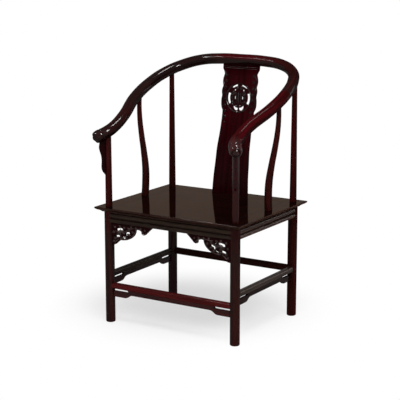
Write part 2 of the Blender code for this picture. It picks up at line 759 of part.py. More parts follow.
def sawn_board(name, outlines, thickness):
    """Cut a board of even thickness to an outline with openings: across is X, height is Z."""
    curve = bpy.data.curves.new(name, "CURVE")
    curve.dimensions = "2D"
    curve.fill_mode = "BOTH"
    curve.extrude = thickness / 2
    for outline in outlines:
        spline = curve.splines.new("POLY")
        spline.points.add(len(outline) - 1)
        for point, (across, height) in zip(spline.points, outline):
            point.co = (across, height, 0, 1)
        spline.use_cyclic_u = True
    flat = bpy.data.objects.new(name, curve)
    bpy.context.scene.collection.objects.link(flat)
    bpy.context.view_layer.update()
    graph = bpy.context.evaluated_depsgraph_get()
    shape = bmesh.new()
    shape.from_mesh(bpy.data.meshes.new_from_object(flat.evaluated_get(graph)))
    bpy.data.objects.remove(flat, do_unlink=True)
    bmesh.ops.rotate(shape, verts=shape.verts, matrix=Matrix.Rotation(math.pi / 2, 3, "X"))
    return add_object(name, shape)


def splat_lean(height):
    """How far back the splat lies at a height, from its foot on the seat to the crest."""
    rise = (height - SEAT_HEIGHT) / (CREST_UNDERSIDE - SEAT_HEIGHT)
    knots = list(zip(SPLAT_LEAN_HEIGHT_SHARES, SPLAT_LEAN_SHARES))
    curve = smooth_curve(knots, CURVE_SAMPLES)
    share = float(np.interp(rise, curve[:, 0], curve[:, 1]))
    return SPLAT_FOOT + share * (CREST_BACK - SPLAT_FOOT)


def ring_opening(start, end, inner, outer):
    """An opening between two radii of the medallion, over a range of angle."""
    points = []
    for radius, angles in ((outer, (start, end)), (inner, (end, start))):
        for k in range(OUTLINE_STEPS * 2 + 1):
            turn = math.tau * (angles[0] + (angles[1] - angles[0]) * k / (OUTLINE_STEPS * 2))
            reach = MEDALLION_RADIUS * radius
            points.append((reach * math.cos(turn), reach * math.sin(turn)))
    return points


def crescent_opening(start, end, inner):
    """A crescent between the medallion's rim and a flatter inner curve, over a range of angle."""
    steps = OUTLINE_STEPS * 3
    points = []
    for k in range(steps + 1):
        turn = math.tau * (start + (end - start) * k / steps)
        points.append((MEDALLION_RADIUS * math.cos(turn), MEDALLION_RADIUS * math.sin(turn)))
    tips = (points[0], points[-1])
    for k in range(1, steps):
        share = k / steps
        x = tips[1][0] + (tips[0][0] - tips[1][0]) * share
        y = tips[1][1] + (tips[0][1] - tips[1][1]) * share
        bow = x - MEDALLION_RADIUS * inner
        points.append((x - bow * math.sin(math.pi * share), y))
    return points


def medallion_openings():
    """Openings of the pierced rosette, on the right half and mirrored to the left."""
    petal = []
    for k in range(PEG_SIDES):
        turn = math.tau * k / PEG_SIDES
        x = MEDALLION_RADIUS * (PETAL_PLACE_SHARE + PETAL_WIDTH_SHARE * math.cos(turn))
        petal.append((x, MEDALLION_RADIUS * PETAL_LENGTH_SHARE * math.sin(turn)))
    eye = round_opening((MEDALLION_RADIUS * EYE_ACROSS_SHARE, MEDALLION_RADIUS * EYE_UP_SHARE), MEDALLION_EYE)
    side = crescent_opening(*SIDE_OPENING_SHARES)
    lobe = closed_smooth([(MEDALLION_RADIUS * a, MEDALLION_RADIUS * b) for a, b in LOBE_OPENING_SHARES])
    right = [side, petal, eye, ring_opening(*ARC_OPENING_SHARES), lobe]
    left = [[(-x, y) for x, y in reversed(points)] for points in right]
    return right + left


def splat_board(name, spread, outlines):
    """A board bent to the splat's lean."""
    board = sawn_board(name, outlines, SPLAT_THICKNESS + spread * 2)
    shape = bmesh.new()
    shape.from_mesh(board.data)
    for k in range(SPLAT_BANDS + 1):
        level = SEAT_HEIGHT + (CREST_UNDERSIDE - SEAT_HEIGHT) * k / SPLAT_BANDS
        everything = shape.verts[:] + shape.edges[:] + shape.faces[:]
        bmesh.ops.bisect_plane(shape, geom=everything, dist=WELD, plane_co=(0, 0, level), plane_no=UP)
    for vert in shape.verts:
        vert.co.y += splat_lean(vert.co.z)
    bpy.data.objects.remove(board, do_unlink=True)
    return add_object(name, shape)


def splat_slot(low, high):
    """Slot for an end of the splat, with clearance all round."""
    half = SPLAT_WIDTH / 2 + GAP
    outline = [(-half, low), (half, low), (half, high), (-half, high)]
    return splat_board("tool", GAP, [outline])


def build_splat(crest_back, seat_rail):
    """The pierced splat, leaning back in an S and tenoned into seat and crest."""
    low = SEAT_HEIGHT - SPLAT_TENON
    high = CREST_UNDERSIDE + SPLAT_TENON
    edge = smooth_runs(SPLAT_EDGE_SHARES, (SPLAT_WIDTH / 2, CREST_UNDERSIDE - SEAT_HEIGHT))
    edge = [(x, SEAT_HEIGHT + z) for x, z in edge]
    right = [(edge[0][0], low)] + edge + [(edge[-1][0], high)]
    outline = right + [(-x, z) for x, z in reversed(right)]
    centre = CREST_UNDERSIDE - MEDALLION_DROP
    openings = [[(x, centre + z) for x, z in points] for points in medallion_openings()]
    splat = splat_board("splat", 0, [outline] + openings)
    combine(seat_rail, splat_slot(low - GAP, SEAT_HEIGHT + OVERRUN))
    combine(crest_back, splat_slot(CREST_UNDERSIDE - CREST_BACK_RADIUS, high + GAP))
    return splat


def build_side_post(name, side, rail, lengths):
    """A side post that swells at its foot and sweeps outwards in an S to the arm."""
    place = side * crest_place_above(SIDE_POST_PLACE + SIDE_POST_LEAN)
    top = crest_point(place)
    foot = Vector((side * LEG_X, SIDE_POST_PLACE, SEAT_HEIGHT))
    sweep = smooth_curve(list(zip(SIDE_POST_HEIGHT_SHARES, SIDE_POST_SWEEP_SHARES)), CURVE_SAMPLES)
    slim = smooth_curve(list(zip(SIDE_POST_HEIGHT_SHARES, SIDE_POST_SLIM_SHARES)), CURVE_SAMPLES)
    rings = []
    for k in range(SIDE_POST_RINGS + 1):
        share = k / SIDE_POST_RINGS
        out = float(np.interp(share, sweep[:, 0], sweep[:, 1]))
        thin = float(np.interp(share, slim[:, 0], slim[:, 1]))
        radius = SIDE_POST_FOOT_RADIUS + (SIDE_POST_TOP_RADIUS - SIDE_POST_FOOT_RADIUS) * thin
        centre = Vector((foot.x + (top.x - foot.x) * out, foot.y + SIDE_POST_LEAN * share, 0))
        centre.z = foot.z + GAP + (top.z - foot.z - GAP) * share
        ring = []
        for j in range(POST_SIDES):
            turn = math.tau * j / POST_SIDES
            ring.append(centre + Vector((math.cos(turn), math.sin(turn), 0)) * radius)
        rings.append(ring)
    post = loft(name, rings)
    seat_in_crest(post, centre, place, POST_TENON_RADIUS, POST_TENON_LENGTH, lengths)
    radius = SIDE_POST_TENON_RADIUS
    depth = SEAT_HEIGHT - SIDE_POST_TENON_LENGTH
    root = SEAT_HEIGHT + SIDE_POST_TENON_LENGTH
    combine(post, turned("tool", foot, ((radius, depth), (radius, root)), PEG_SIDES), "UNION")
    hole = ((radius + GAP, depth - GAP), (radius + GAP, root))
    combine(rail, turned("tool", foot, hole, PEG_SIDES))
    return post


def build_apron(name, outward, stretcher_low):
    """A shaped board under a stretcher, open in a slot at each leg."""
    middle, along, half = side_frame(outward)
    top = stretcher_low - GAP
    sill = top - APRON_SLOT_HEIGHT
    low = top - APRON_DEPTH
    foot = low - APRON_END_DROP
    round_edge = APRON_SLOT_ROUND
    slot_end = half - APRON_SLOT_REACH
    start = half - APRON_OGEE_START
    end = half - APRON_OGEE_END
    ogee = []
    steps = OUTLINE_STEPS * 2
    for k in range(steps + 1):
        share = k / steps
        drop = APRON_END_DROP * (1 - math.cos(math.pi * share)) / 2
        ogee.append((start + (end - start) * share, low - drop))
    right = [(slot_end - round_edge, top)]
    for k in range(1, ROUNDING_STEPS + 1):
        turn = math.pi * k / ROUNDING_STEPS
        bulge = round_edge * math.sin(turn)
        drop = APRON_SLOT_HEIGHT * (1 - math.cos(turn)) / 2
        right.append((slot_end - round_edge - bulge, top - drop))
    right += [(half, sill), (half, foot)] + list(reversed(ogee))
    outline = right + [(-x, z) for x, z in reversed(right)]
    board = sawn_board(name, [outline], APRON_THICKNESS)
    turn = math.pi / 2 if outward.x else 0
    board.data.transform(Matrix.Translation(middle) @ Matrix.Rotation(turn, 4, "Z"))
    return cope_to_legs(board, outward, foot, top)


def build_spandrel(name, side):
    """A pierced scroll bracket in a front corner, under the rail and against the leg."""
    scale = (SPANDREL_LENGTH, -SPANDREL_DROP)
    edge = smooth_runs(SPANDREL_EDGE_SHARES, scale)
    outline = [(-LEG_RADIUS, 0), (-LEG_RADIUS, edge[0][1])] + edge
    openings = []
    for knots in SPANDREL_OPENING_SHARES:
        openings.append(closed_smooth([(a * scale[0], b * scale[1]) for a, b in knots]))
    for a, b in SPANDREL_EYE_SHARES:
        openings.append(round_opening((a * scale[0], b * scale[1]), SPANDREL_EYE))
    start = LEG_RADIUS - LEG_X
    top = BEAD_RAIL_BOTTOM - GAP
    placed = []
    for points in [outline] + openings:
        placed.append([(-side * (start + x), top + z) for x, z in points])
    board = sawn_board(name, placed, SPANDREL_THICKNESS)
    board.data.transform(Matrix.Translation((0, -LEG_Y - SPANDREL_SETBACK, 0)))
    profile = ((LEG_RADIUS + GAP, top - SPANDREL_DROP - OVERRUN), (LEG_RADIUS + GAP, top + OVERRUN))
    return combine(board, turned("tool", Vector((side * LEG_X, -LEG_Y, 0)), profile))


def build_grip_bracket(name, side):
    """A slender shaped board between the front post and the underside of the grip."""
    place = crest_place_above(-LEG_Y)
    top = crest_point(place).z
    post = Vector((side * LEG_X, -LEG_Y, 0))
    nose = crest_point(side * CREST_REACH)
    flare = math.atan2(nose.y - post.y, nose.x - post.x)
    underside = top - crest_radius(place)
    edge = smooth_runs(GRIP_BRACKET_EDGE_SHARES, (GRIP_BRACKET_REACH, -GRIP_BRACKET_DROP))
    edge = [(x, underside + z) for x, z in edge]
    outline = [(0, edge[-1][1]), (0, top), (edge[0][0], top)] + edge
    board = sawn_board(name, [outline], GRIP_BRACKET_THICKNESS)
    board.data.transform(Matrix.Translation(post) @ Matrix.Rotation(flare, 4, "Z"))
    combine(board, turned("tool", post, leg_profile(-1, GAP)))
    return combine(board, arm_tool(side, place - SCARF_LENGTH, GAP))


def give_wood(item, colour):
    """Lacquered wood of one colour, in a material of the piece's own."""
    material = bpy.data.materials.new(item.name + "_wood")
    material.use_nodes = True
    shader = material.node_tree.nodes["Principled BSDF"]
    shader.inputs["Base Color"].default_value = (*colour, 1)
    shader.inputs["Roughness"].default_value = WOOD_ROUGHNESS
    shader.inputs["Metallic"].default_value = 0
    item.data.materials.clear()
    item.data.materials.append(material)


def smooth_faces(item):
    """Shade curved faces smooth and keep the arrises crisp."""
    item.data.shade_smooth()
    item.data.set_sharp_from_angle(angle=math.radians(CREASE_DEGREES))


def main():
    clear_scene()
    back, arms, pegs = build_crest()
    arm_left, arm_right = arms

    legs = {
        "front_left": build_leg("leg_front_left", -1, -1, [arm_left]),
        "front_right": build_leg("leg_front_right", 1, -1, [arm_right]),
        "back_left": build_leg("leg_back_left", -1, 1, [back]),
        "back_right": build_leg("leg_back_right", 1, 1, [back]),
    }
    sides = {
        "front": (FRONT, (legs["front_left"], legs["front_right"])),
        "back": (BACK, (legs["back_left"], legs["back_right"])),
        "left": (LEFT, (legs["front_left"], legs["back_left"])),
        "right": (RIGHT, (legs["front_right"], legs["back_right"])),
    }

    rails = {label: build_seat_rail("seat_rail_" + label, sides[label][0]) for label in sides}
    mitre_tenons(rails)
    neck_holes(rails)
    panel = build_panel()
    battens = [build_batten("seat_batten_" + label, side, rails) for side, label in ((-1, "left"), (1, "right"))]
    beads = [build_bead_rail("bead_rail_" + label, *sides[label]) for label in sides]

    heights = {
        "front": (FRONT_STRETCHER_TOP, STRETCHER_HEIGHT),
        "back": (BACK_STRETCHER_TOP, BACK_STRETCHER_HEIGHT),
        "left": (SIDE_STRETCHER_TOP, STRETCHER_HEIGHT),
        "right": (SIDE_STRETCHER_TOP, STRETCHER_HEIGHT),
    }
    stretchers = []
    aprons = []
    for label, (outward, pair) in sides.items():
        top, height = heights[label]
        stretchers.append(build_stretcher("stretcher_" + label, outward, top, height, pair))
        if label != "back":
            aprons.append(build_apron("stretcher_apron_" + label, outward, top - height))

    splat = build_splat(back, rails["back"])
    side_posts = [
        build_side_post("side_post_left", -1, rails["left"], [arm_left]),
        build_side_post("side_post_right", 1, rails["right"], [arm_right]),
    ]
    spandrels = [build_spandrel("spandrel_left", -1), build_spandrel("spandrel_right", 1)]
    brackets = [build_grip_bracket("grip_bracket_left", -1), build_grip_bracket("grip_bracket_right", 1)]

    chair = bpy.data.objects.new("chair", None)
    bpy.context.scene.collection.objects.link(chair)
    chair.location = (0, -CHAIR_MIDDLE, 0)
    woods = (
        (FRAME_COLOUR, list(legs.values()) + beads + stretchers + aprons + side_posts),
        (SEAT_COLOUR, list(rails.values()) + [panel] + battens),
        (CARVED_COLOUR, [splat] + spandrels + brackets),
        (CREST_COLOUR, [back] + arms + pegs),
    )
    for colour, pieces in woods:
        for item in pieces:
            smooth_faces(item)
            give_wood(item, colour)
            item.parent = chair


main()
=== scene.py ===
"""Looks of a Ming style horseshoe-back armchair in dark red lacquered hardwood.

Metres, +Z up. The front of the chair faces -Y and its left side is at -X.
"""

from math import atan2, cos, pi, radians, sin, tau

import bpy
from mathutils import Matrix, Vector


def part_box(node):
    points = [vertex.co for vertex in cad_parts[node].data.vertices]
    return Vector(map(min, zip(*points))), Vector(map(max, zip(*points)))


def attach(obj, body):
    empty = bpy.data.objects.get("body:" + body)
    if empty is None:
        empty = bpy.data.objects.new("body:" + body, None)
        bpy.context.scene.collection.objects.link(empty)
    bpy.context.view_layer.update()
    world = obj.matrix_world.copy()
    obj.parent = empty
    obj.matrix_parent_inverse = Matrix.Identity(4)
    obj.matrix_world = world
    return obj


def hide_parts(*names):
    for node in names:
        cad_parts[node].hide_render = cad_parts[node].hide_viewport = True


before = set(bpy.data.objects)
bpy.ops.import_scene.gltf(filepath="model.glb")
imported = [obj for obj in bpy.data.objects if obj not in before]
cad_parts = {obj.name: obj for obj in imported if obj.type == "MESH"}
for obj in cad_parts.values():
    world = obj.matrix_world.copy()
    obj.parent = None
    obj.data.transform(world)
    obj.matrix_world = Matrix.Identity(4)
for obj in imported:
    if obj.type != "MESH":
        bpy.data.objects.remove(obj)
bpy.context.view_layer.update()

# Where the chair's members stand
MIDDLE_Y = -0.0211
LEG_X = 0.28
LEG_Y = 0.2215
LEG_RADIUS = 0.0185
SEAT_TOP = 0.46
SEAT_LOW = 0.4405
SEAT_EDGE_X = 0.3212
SEAT_EDGE_Y = 0.2627
SEAT_MEMBER_WIDTH = 0.07
BEAD_TOP = 0.4402
BEAD_LOW = 0.3977

# Open line between two boards, arris of a sawn joint, and how far a hidden end goes in
SEAM = 0.0003
JOINT_ARRIS = 0.0003
HOUSING = 0.006


# Modelling

# Turn that stands flat work up, and how far a shift moves a plank along its grain
UPRIGHT = (pi / 2, 0, 0)
GRAIN_STRIDE = 3.1
SCROLL_STEPS = 9


def clear_selection():
    """Leave any edit and let go of everything."""
    active = bpy.context.view_layer.objects.active
    if active and active.mode != "OBJECT":
        bpy.ops.object.mode_set(mode="OBJECT")
    bpy.ops.object.select_all(action="DESELECT")


def take_up(piece):
    """Make one piece the selected and active one."""
    clear_selection()
    piece.select_set(True)
    bpy.context.view_layer.objects.active = piece


def edit(piece):
    """Open a piece for editing with all of it selected."""
    take_up(piece)
    bpy.ops.object.mode_set(mode="EDIT")
    bpy.ops.mesh.select_all(action="SELECT")


def named(name):
    """Name the piece that was just made."""
    piece = bpy.context.object
    piece.name = name
    piece.data.name = name
    return piece


def set_down(piece, location=(0, 0, 0), turn=(0, 0, 0)):
    """Put a piece in its place and write the place into its mesh."""
    take_up(piece)
    piece.location = location
    piece.rotation_euler = turn
    bpy.ops.object.transform_apply()
    return piece


def face_outwards(piece):
    """Merge doubles and turn all faces outwards."""
    edit(piece)
    bpy.ops.mesh.remove_doubles(threshold=0.00001)
    bpy.ops.mesh.normals_make_consistent()
    bpy.ops.object.mode_set(mode="OBJECT")
    return piece


def work(piece, kind, **settings):
    """Add a modifier and apply it."""
    take_up(piece)
    modifier = piece.modifiers.new("work", kind)
    for key, value in settings.items():
        setattr(modifier, key, value)
    bpy.ops.object.modifier_apply(modifier=modifier.name)


def ease(piece, width, segments=2, angle=50):
    """Round the arrises of a piece."""
    work(
        piece, "BEVEL", width=width, segments=segments, limit_method="ANGLE",
        angle_limit=radians(angle),
    )


def smooth(piece, angle=38, flat_faces=False):
    """Shade the curved faces smooth and, where asked, keep the large faces flat."""
    take_up(piece)
    bpy.ops.object.shade_smooth_by_angle(angle=radians(angle))
    if flat_faces:
        work(piece, "WEIGHTED_NORMAL", keep_sharp=True)
    return piece


def even(value):
    """Knots that hold one value all the way."""
    return ((0, value), (1, value))


def between_knots(knots, share):
    """The value at a share of the way, on straight lines through (share, value) knots."""
    for (a, low), (b, high) in zip(knots, knots[1:]):
        if share <= b:
            return low + (high - low) * (share - a) / (b - a)
    return knots[-1][1]


def keep_grain(
    piece, along, shift, red_and_painted_light=even(0.12), gloss=even(1), painted_top_light=(0, 0.45, 0.9), under_gloss=None
):
    """Write down where each corner lies in its plank, how much painted light it gets and how glossy
    it is there.

    The red_and_painted_light knots give the wood's red together with painted light and shade:
    more red where light falls, less where it does not. Gloss is knots along the plank too. Of
    painted_top_light, the first number is the share of red that the underside loses as painted
    shade, and the others are the top's share at the middle and its slope.
    """
    order = {"X": (0, 1, 2), "Y": (1, 2, 0), "Z": (2, 0, 1)}[along]
    places = [[vert.co[axis] for axis in order] for vert in piece.data.vertices]
    low, high = min(places)[0], max(places)[0]
    thick = max(c for _, _, c in places)
    painted_underside_shade, middle, slope = painted_top_light
    shares = [(a - low) / (high - low) for a, _, _ in places]
    tops = [min(1, max(0, middle + slope * c / thick)) for _, _, c in places]
    grain = piece.data.attributes.new("grain", "FLOAT_VECTOR", "POINT")
    for spot, (a, b, c) in zip(grain.data, places):
        spot.vector = (a + shift * GRAIN_STRIDE, b + shift, c - shift)
    # Painted light and shade: the red of the knots, with less of it beneath as painted shade
    red = piece.data.attributes.new("red_and_painted_light", "FLOAT", "POINT")
    for spot, share, top in zip(red.data, shares, tops):
        spot.value = (1 - painted_underside_shade * (1 - top)) * between_knots(red_and_painted_light, share)
    sheen = piece.data.attributes.new("gloss", "FLOAT", "POINT")
    for spot, share, top in zip(sheen.data, shares, tops):
        spot.value = between_knots(gloss, share)
        if under_gloss:
            spot.value = top * spot.value + (1 - top) * between_knots(under_gloss, share)


def draw_line(points):
    """Draw a chain of corners point by point, from one corner pulled on again and again."""
    clear_selection()
    bpy.ops.mesh.primitive_plane_add(size=0.01)
    bpy.ops.object.mode_set(mode="EDIT")
    bpy.ops.mesh.select_mode(type="VERT")
    bpy.ops.mesh.select_all(action="SELECT")
    bpy.ops.mesh.merge(type="CENTER")
    bpy.ops.transform.translate(value=points[0])
    for before, after in zip(points, points[1:]):
        step = [b - a for a, b in zip(before, after)]
        bpy.ops.mesh.extrude_vertices_move(TRANSFORM_OT_translate={"value": step})


def turned(name, profile, place=(0, 0), sides=56):
    """A piece turned on the lathe from (radius, height) pairs."""
    draw_line([(radius, 0, height) for radius, height in profile])
    piece = named(name)
    work(
        piece, "SCREW", axis="Z", angle=tau, steps=sides, render_steps=sides,
        use_merge_vertices=True, merge_threshold=0.000005,
    )
    face_outwards(piece)
    return set_down(piece, (*place, 0))


def drawn(name, section, start, end):
    """A member planed to a section of (outward, height) pairs, running along X in front."""
    draw_line([(start, -out, height) for out, height in section])
    bpy.ops.mesh.select_all(action="SELECT")
    bpy.ops.mesh.edge_face_add()
    bpy.ops.mesh.extrude_region_move(TRANSFORM_OT_translate={"value": (end - start, 0, 0)})
    return face_outwards(named(name))


def block(size, place=(0, 0, 0)):
    """A squared block of a size, with its middle at a place."""
    clear_selection()
    bpy.ops.mesh.primitive_cube_add(size=1, location=place)
    bpy.context.object.scale = size
    bpy.ops.object.transform_apply()
    return bpy.context.object


def new_curve(dimensions, **settings):
    """Add an empty curve and give back its data."""
    clear_selection()
    bpy.ops.object.add(type="CURVE")
    curve = bpy.context.object.data
    curve.dimensions = dimensions
    for key, value in settings.items():
        setattr(curve, key, value)
    return curve


def as_mesh(name):
    """Make the curve that was just drawn a mesh with a name."""
    bpy.ops.object.convert(target="MESH")
    return face_outwards(named(name))


def add_spline(curve, points, sharp=(), closed=False, radii=()):
    """Draw a smooth line through points, with a corner at each index in sharp."""
    spline = curve.splines.new("BEZIER")
    spline.bezier_points.add(len(points) - 1)
    for k, (knot, point) in enumerate(zip(spline.bezier_points, points)):
        knot.co = (*point, 0)[:3]
        kind = "VECTOR" if k in sharp else "AUTO"
        knot.handle_left_type = kind
        knot.handle_right_type = kind
    for knot, radius in zip(spline.bezier_points, radii):
        knot.radius = radius
    spline.radius_interpolation = "CARDINAL"
    spline.use_cyclic_u = closed


def sawn(name, outlines, thickness, arris, resolution=8):
    """A board sawn to closed outlines with its arrises rounded: across is X, height is Z."""
    curve = new_curve(
        "2D", fill_mode="BOTH", extrude=thickness / 2 - arris, bevel_depth=arris,
        bevel_resolution=2, offset=-arris, resolution_u=resolution,
    )
    for points, sharp in outlines:
        add_spline(curve, points, sharp, closed=True)
    return set_down(as_mesh(name), turn=UPRIGHT)


def rib(name, strokes, thickness, radius):
    """Raised carving on a board: tapering strokes of (across, height, share of the radius)."""
    curve = new_curve(
        "3D", bevel_depth=radius, bevel_resolution=3, resolution_u=8, use_fill_caps=True
    )
    for stroke in strokes:
        add_spline(curve, [(x, z) for x, z, _ in stroke], radii=[share for _, _, share in stroke])
    piece = set_down(as_mesh(name), turn=UPRIGHT)
    piece.scale = (1, 0.9, 1)
    return set_down(piece, (0, -thickness / 2, 0))


def spiral(x, z, radius, start, turns, thick, hand):
    """A carved scroll that winds in to its eye and thickens on the way."""
    stroke = []
    for k in range(SCROLL_STEPS):
        share = k / (SCROLL_STEPS - 1)
        turn = tau * (start + hand * turns * share)
        reach = radius * (1 - share) ** 0.8 + radius * 0.08
        width = thick * (0.55 + 0.65 * share)
        stroke.append((x + reach * cos(turn), z + reach * sin(turn), width))
    return stroke


def sized(shares, scale):
    """Pairs of shares in real sizes. What follows a pair is kept."""
    return [(a * scale[0], b * scale[1], *rest) for a, b, *rest in shares]


def join_runs(runs, scale):
    """Join runs of share pairs, meeting at sharp corners, in real sizes, and index the corners."""
    points = []
    sharp = {0}
    for run in runs:
        for point in sized(run, scale):
            if not points or (Vector(point) - Vector(points[-1])).length > 0.00001:
                points.append(point)
        sharp.add(len(points) - 1)
    return points, sharp


def flipped(stroke):
    """The same stroke on the other side."""
    return [(-x, z, share) for x, z, share in stroke]


def mirrored(points, sharp):
    """The same outline on the other side, in reverse order, with its corners."""
    last = len(points) - 1
    return [(-x, z) for x, z in reversed(points)], {last - k for k in sharp}


def both_sides(points, sharp):
    """The right half of an outline with its corners, closed by the same on the left."""
    left, left_sharp = mirrored(points, sharp)
    return points + left, sharp | {len(points) + k for k in left_sharp}


def oval(x, z, wide, high):
    """A small oval opening."""
    points = []
    for k in range(8):
        turn = tau * k / 8
        points.append((x + wide * cos(turn), z + high * sin(turn)))
    return points, set()


def quarter_round(size):
    """Steps in from the side, and in from the end, of a rounded edge."""
    turns = [pi / 2 * k / 6 for k in range(7)]
    return [(size * (1 - sin(turn)), size * (1 - cos(turn))) for turn in turns]


# Legs with their posts

# Eased foot, shoulder below the seat, neck inside it, and hairline between leg and seat
FOOT_EASE = 0.0048
LEG_SHOULDER = 0.0015
NECK_RADIUS = 0.0144
HAIR = 0.0004
# Posts: radius at the seat and at the top, and height of the top
FRONT_POST = (0.0132, 0.012, 0.7507)
BACK_POST = (0.01375, 0.0095, 0.9454)
POST_DULLING = 0.55
# Painted light up each leg: red as if lit on the posts above the seat, painted shade down the leg
# beneath it, a little lighter at the foot; the back right leg has its own knots
LEG_PAINTED_LIGHT = ((0, 0.45), (0.2, 0.22), (0.46, 0.12), (0.54, 0.62), (1, 0.66))
BACK_RIGHT_LEG_PAINTED_LIGHT = ((0, 0.4), (0.2, 0.45), (0.46, 0.45), (0.54, 0.66), (1, 0.7))


def leg_profile(low_radius, top_radius, top):
    """Radius and height of a leg: eased foot, straight leg, neck in the seat, tapering post."""
    shoulder = SEAT_LOW - LEG_SHOULDER
    profile = [(0, 0)] + [(LEG_RADIUS - a, b) for a, b in quarter_round(FOOT_EASE)]
    for k in range(1, 9):
        profile.append((LEG_RADIUS, FOOT_EASE + (shoulder - FOOT_EASE) * k / 8))
    profile += [
        (LEG_RADIUS - 0.0006, SEAT_LOW - HAIR), (NECK_RADIUS, SEAT_LOW - 0.0003),
        (NECK_RADIUS, SEAT_TOP - HAIR), (low_radius - HAIR, SEAT_TOP - 0.0002),
    ]
    for k in range(13):
        share = k / 12
        radius = low_radius + (top_radius - low_radius) * share
        profile.append((radius, SEAT_TOP + HAIR + (top - SEAT_TOP) * share))
    return profile + [(0, top + HAIR)]


def make_legs():
    """Four legs, each one turned piece with the post above the seat."""
    rows = (
        ("front_left", -1, -1, FRONT_POST, 0.11, 1.0, 1.0),
        ("front_right", 1, -1, FRONT_POST, 0.53, 1.0, 4.2),
        ("back_left", -1, 1, BACK_POST, 0.27, 1.0, 0.3),
        ("back_right", 1, 1, BACK_POST, 0.71, 0.2, 0.3),
    )
    for label, side, end, post, shift, leg_gloss, tip_gloss in rows:
        place = (side * LEG_X, MIDDLE_Y + end * LEG_Y)
        leg = turned("turned_leg_" + label, leg_profile(*post), place)
        smooth(leg, 30)
        red_and_painted_light = BACK_RIGHT_LEG_PAINTED_LIGHT if label == "back_right" else LEG_PAINTED_LIGHT
        seat_share = SEAT_TOP / post[2]
        post_gloss = tip_gloss * POST_DULLING
        gloss = (
            (0, leg_gloss), (seat_share - 0.02, leg_gloss), (seat_share, post_gloss),
            (0.8, post_gloss), (0.87, tip_gloss), (1, tip_gloss),
        )
        keep_grain(leg, "Z", shift, red_and_painted_light, gloss)
        dress(leg, "frame", "leg_" + label)


# Seat

# How far below the top the painted light on the seat rails' moulded edges begins
SEAT_RIM_START = 0.0012
PANEL_THICKNESS = 0.01
PANEL_ARRIS = 0.0005
BATTEN_ARRIS = 0.002


def seat_section():
    """Section of the seat frame, from the inner top edge round the rim to the underside."""
    inner = SEAT_EDGE_Y - SEAT_MEMBER_WIDTH + SEAM / 2
    round_over, undercut = 0.0024, 0.022
    lip = SEAT_TOP - 0.005
    section = [(inner, SEAT_TOP)]
    section += [(SEAT_EDGE_Y - a, SEAT_TOP - b) for a, b in quarter_round(round_over)]
    for k in range(15):
        share = k / 14
        bow = 0.07 * sin(tau * share)
        level = lip - (lip - SEAT_LOW) * (share + bow)
        section.append((SEAT_EDGE_Y - undercut * share, level))
    return section + [(inner, SEAT_LOW)]


def make_seat_frame():
    """Four moulded rails, mitred at the corners."""
    rows = (
        ("front", 0, SEAT_EDGE_X, SEAT_EDGE_Y, 0.17, 0.7),
        ("right", pi / 2, SEAT_EDGE_Y, SEAT_EDGE_X, 0.37, 1.4),
        ("back", pi, SEAT_EDGE_X, SEAT_EDGE_Y, 0.59, 0.5),
        ("left", -pi / 2, SEAT_EDGE_Y, SEAT_EDGE_X, 0.83, 0.5),
    )
    for label, turn, reach, out, shift, rim_painted_light in rows:
        section = [(o + out - SEAT_EDGE_Y, z) for o, z in seat_section()]
        rail = drawn("moulded_seat_rail_" + label, section, -reach, reach)
        for side in (-1, 1):
            edit(rail)
            bpy.ops.mesh.bisect(
                plane_co=(side * (reach - SEAM / 2), -out, 0), plane_no=(side, 1, 0),
                use_fill=True, clear_outer=True,
            )
        face_outwards(rail)
        ease(rail, JOINT_ARRIS, angle=60)
        smooth(rail, 40, flat_faces=True)
        keep_grain(rail, "X", shift, even(0))
        # Painted light: the moulded edge below the top is painted a lighter brown, most on the
        # right side
        for spot, vert in zip(rail.data.attributes["red_and_painted_light"].data, rail.data.vertices):
            if vert.co.z < SEAT_TOP - SEAT_RIM_START:
                spot.value = rim_painted_light
        set_down(rail, (0, MIDDLE_Y, 0), (0, 0, turn))
        dress(rail, "seat", "seat_rail_" + label)


def make_seat_panel():
    """The floating panel, flush with its frame and lacquered over."""
    wide = 2 * (SEAT_EDGE_X - SEAT_MEMBER_WIDTH - SEAM / 2)
    deep = 2 * (SEAT_EDGE_Y - SEAT_MEMBER_WIDTH - SEAM / 2)
    clear_selection()
    bpy.ops.mesh.primitive_plane_add(size=1, location=(0, 0, SEAT_TOP - PANEL_THICKNESS))
    panel = named("polished_seat_panel")
    panel.scale = (wide, deep, 1)
    bpy.ops.object.transform_apply()
    edit(panel)
    rise = {"value": (0, 0, PANEL_THICKNESS)}
    bpy.ops.mesh.extrude_region_move(TRANSFORM_OT_translate=rise)
    face_outwards(panel)
    ease(panel, PANEL_ARRIS, angle=60)
    smooth(panel, flat_faces=True)
    keep_grain(panel, "X", 0.41, even(0))
    set_down(panel, (0, MIDDLE_Y, 0))
    dress(panel, "seat", "seat_panel")


def make_seat_battens():
    """Two battens beneath the panel."""
    length = 2 * (SEAT_EDGE_Y - SEAT_MEMBER_WIDTH) - 0.001
    for label, side in (("left", -1), ("right", 1)):
        low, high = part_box("seat_batten_" + label)
        block((high.x - low.x, length, high.z - low.z))
        batten = named("planed_batten_" + label)
        ease(batten, BATTEN_ARRIS, 3)
        smooth(batten)
        keep_grain(batten, "Y", side * 0.2)
        set_down(batten, (low + high) / 2)
        dress(batten, "seat", "seat_batten_" + label)


# Rails, stretchers and aprons between the legs

# Sides of the chair: turn from the front, half length and distance out, between leg centres
SIDES = (
    ("front", 0, LEG_X, LEG_Y),
    ("right", pi / 2, LEG_Y, LEG_X),
    ("back", pi, LEG_X, LEG_Y),
    ("left", -pi / 2, LEG_Y, LEG_X),
)
RAIL_END_INSET = 0.008
STRETCHER_HALF = 0.012
STRETCHER_ROUNDING = 0.006
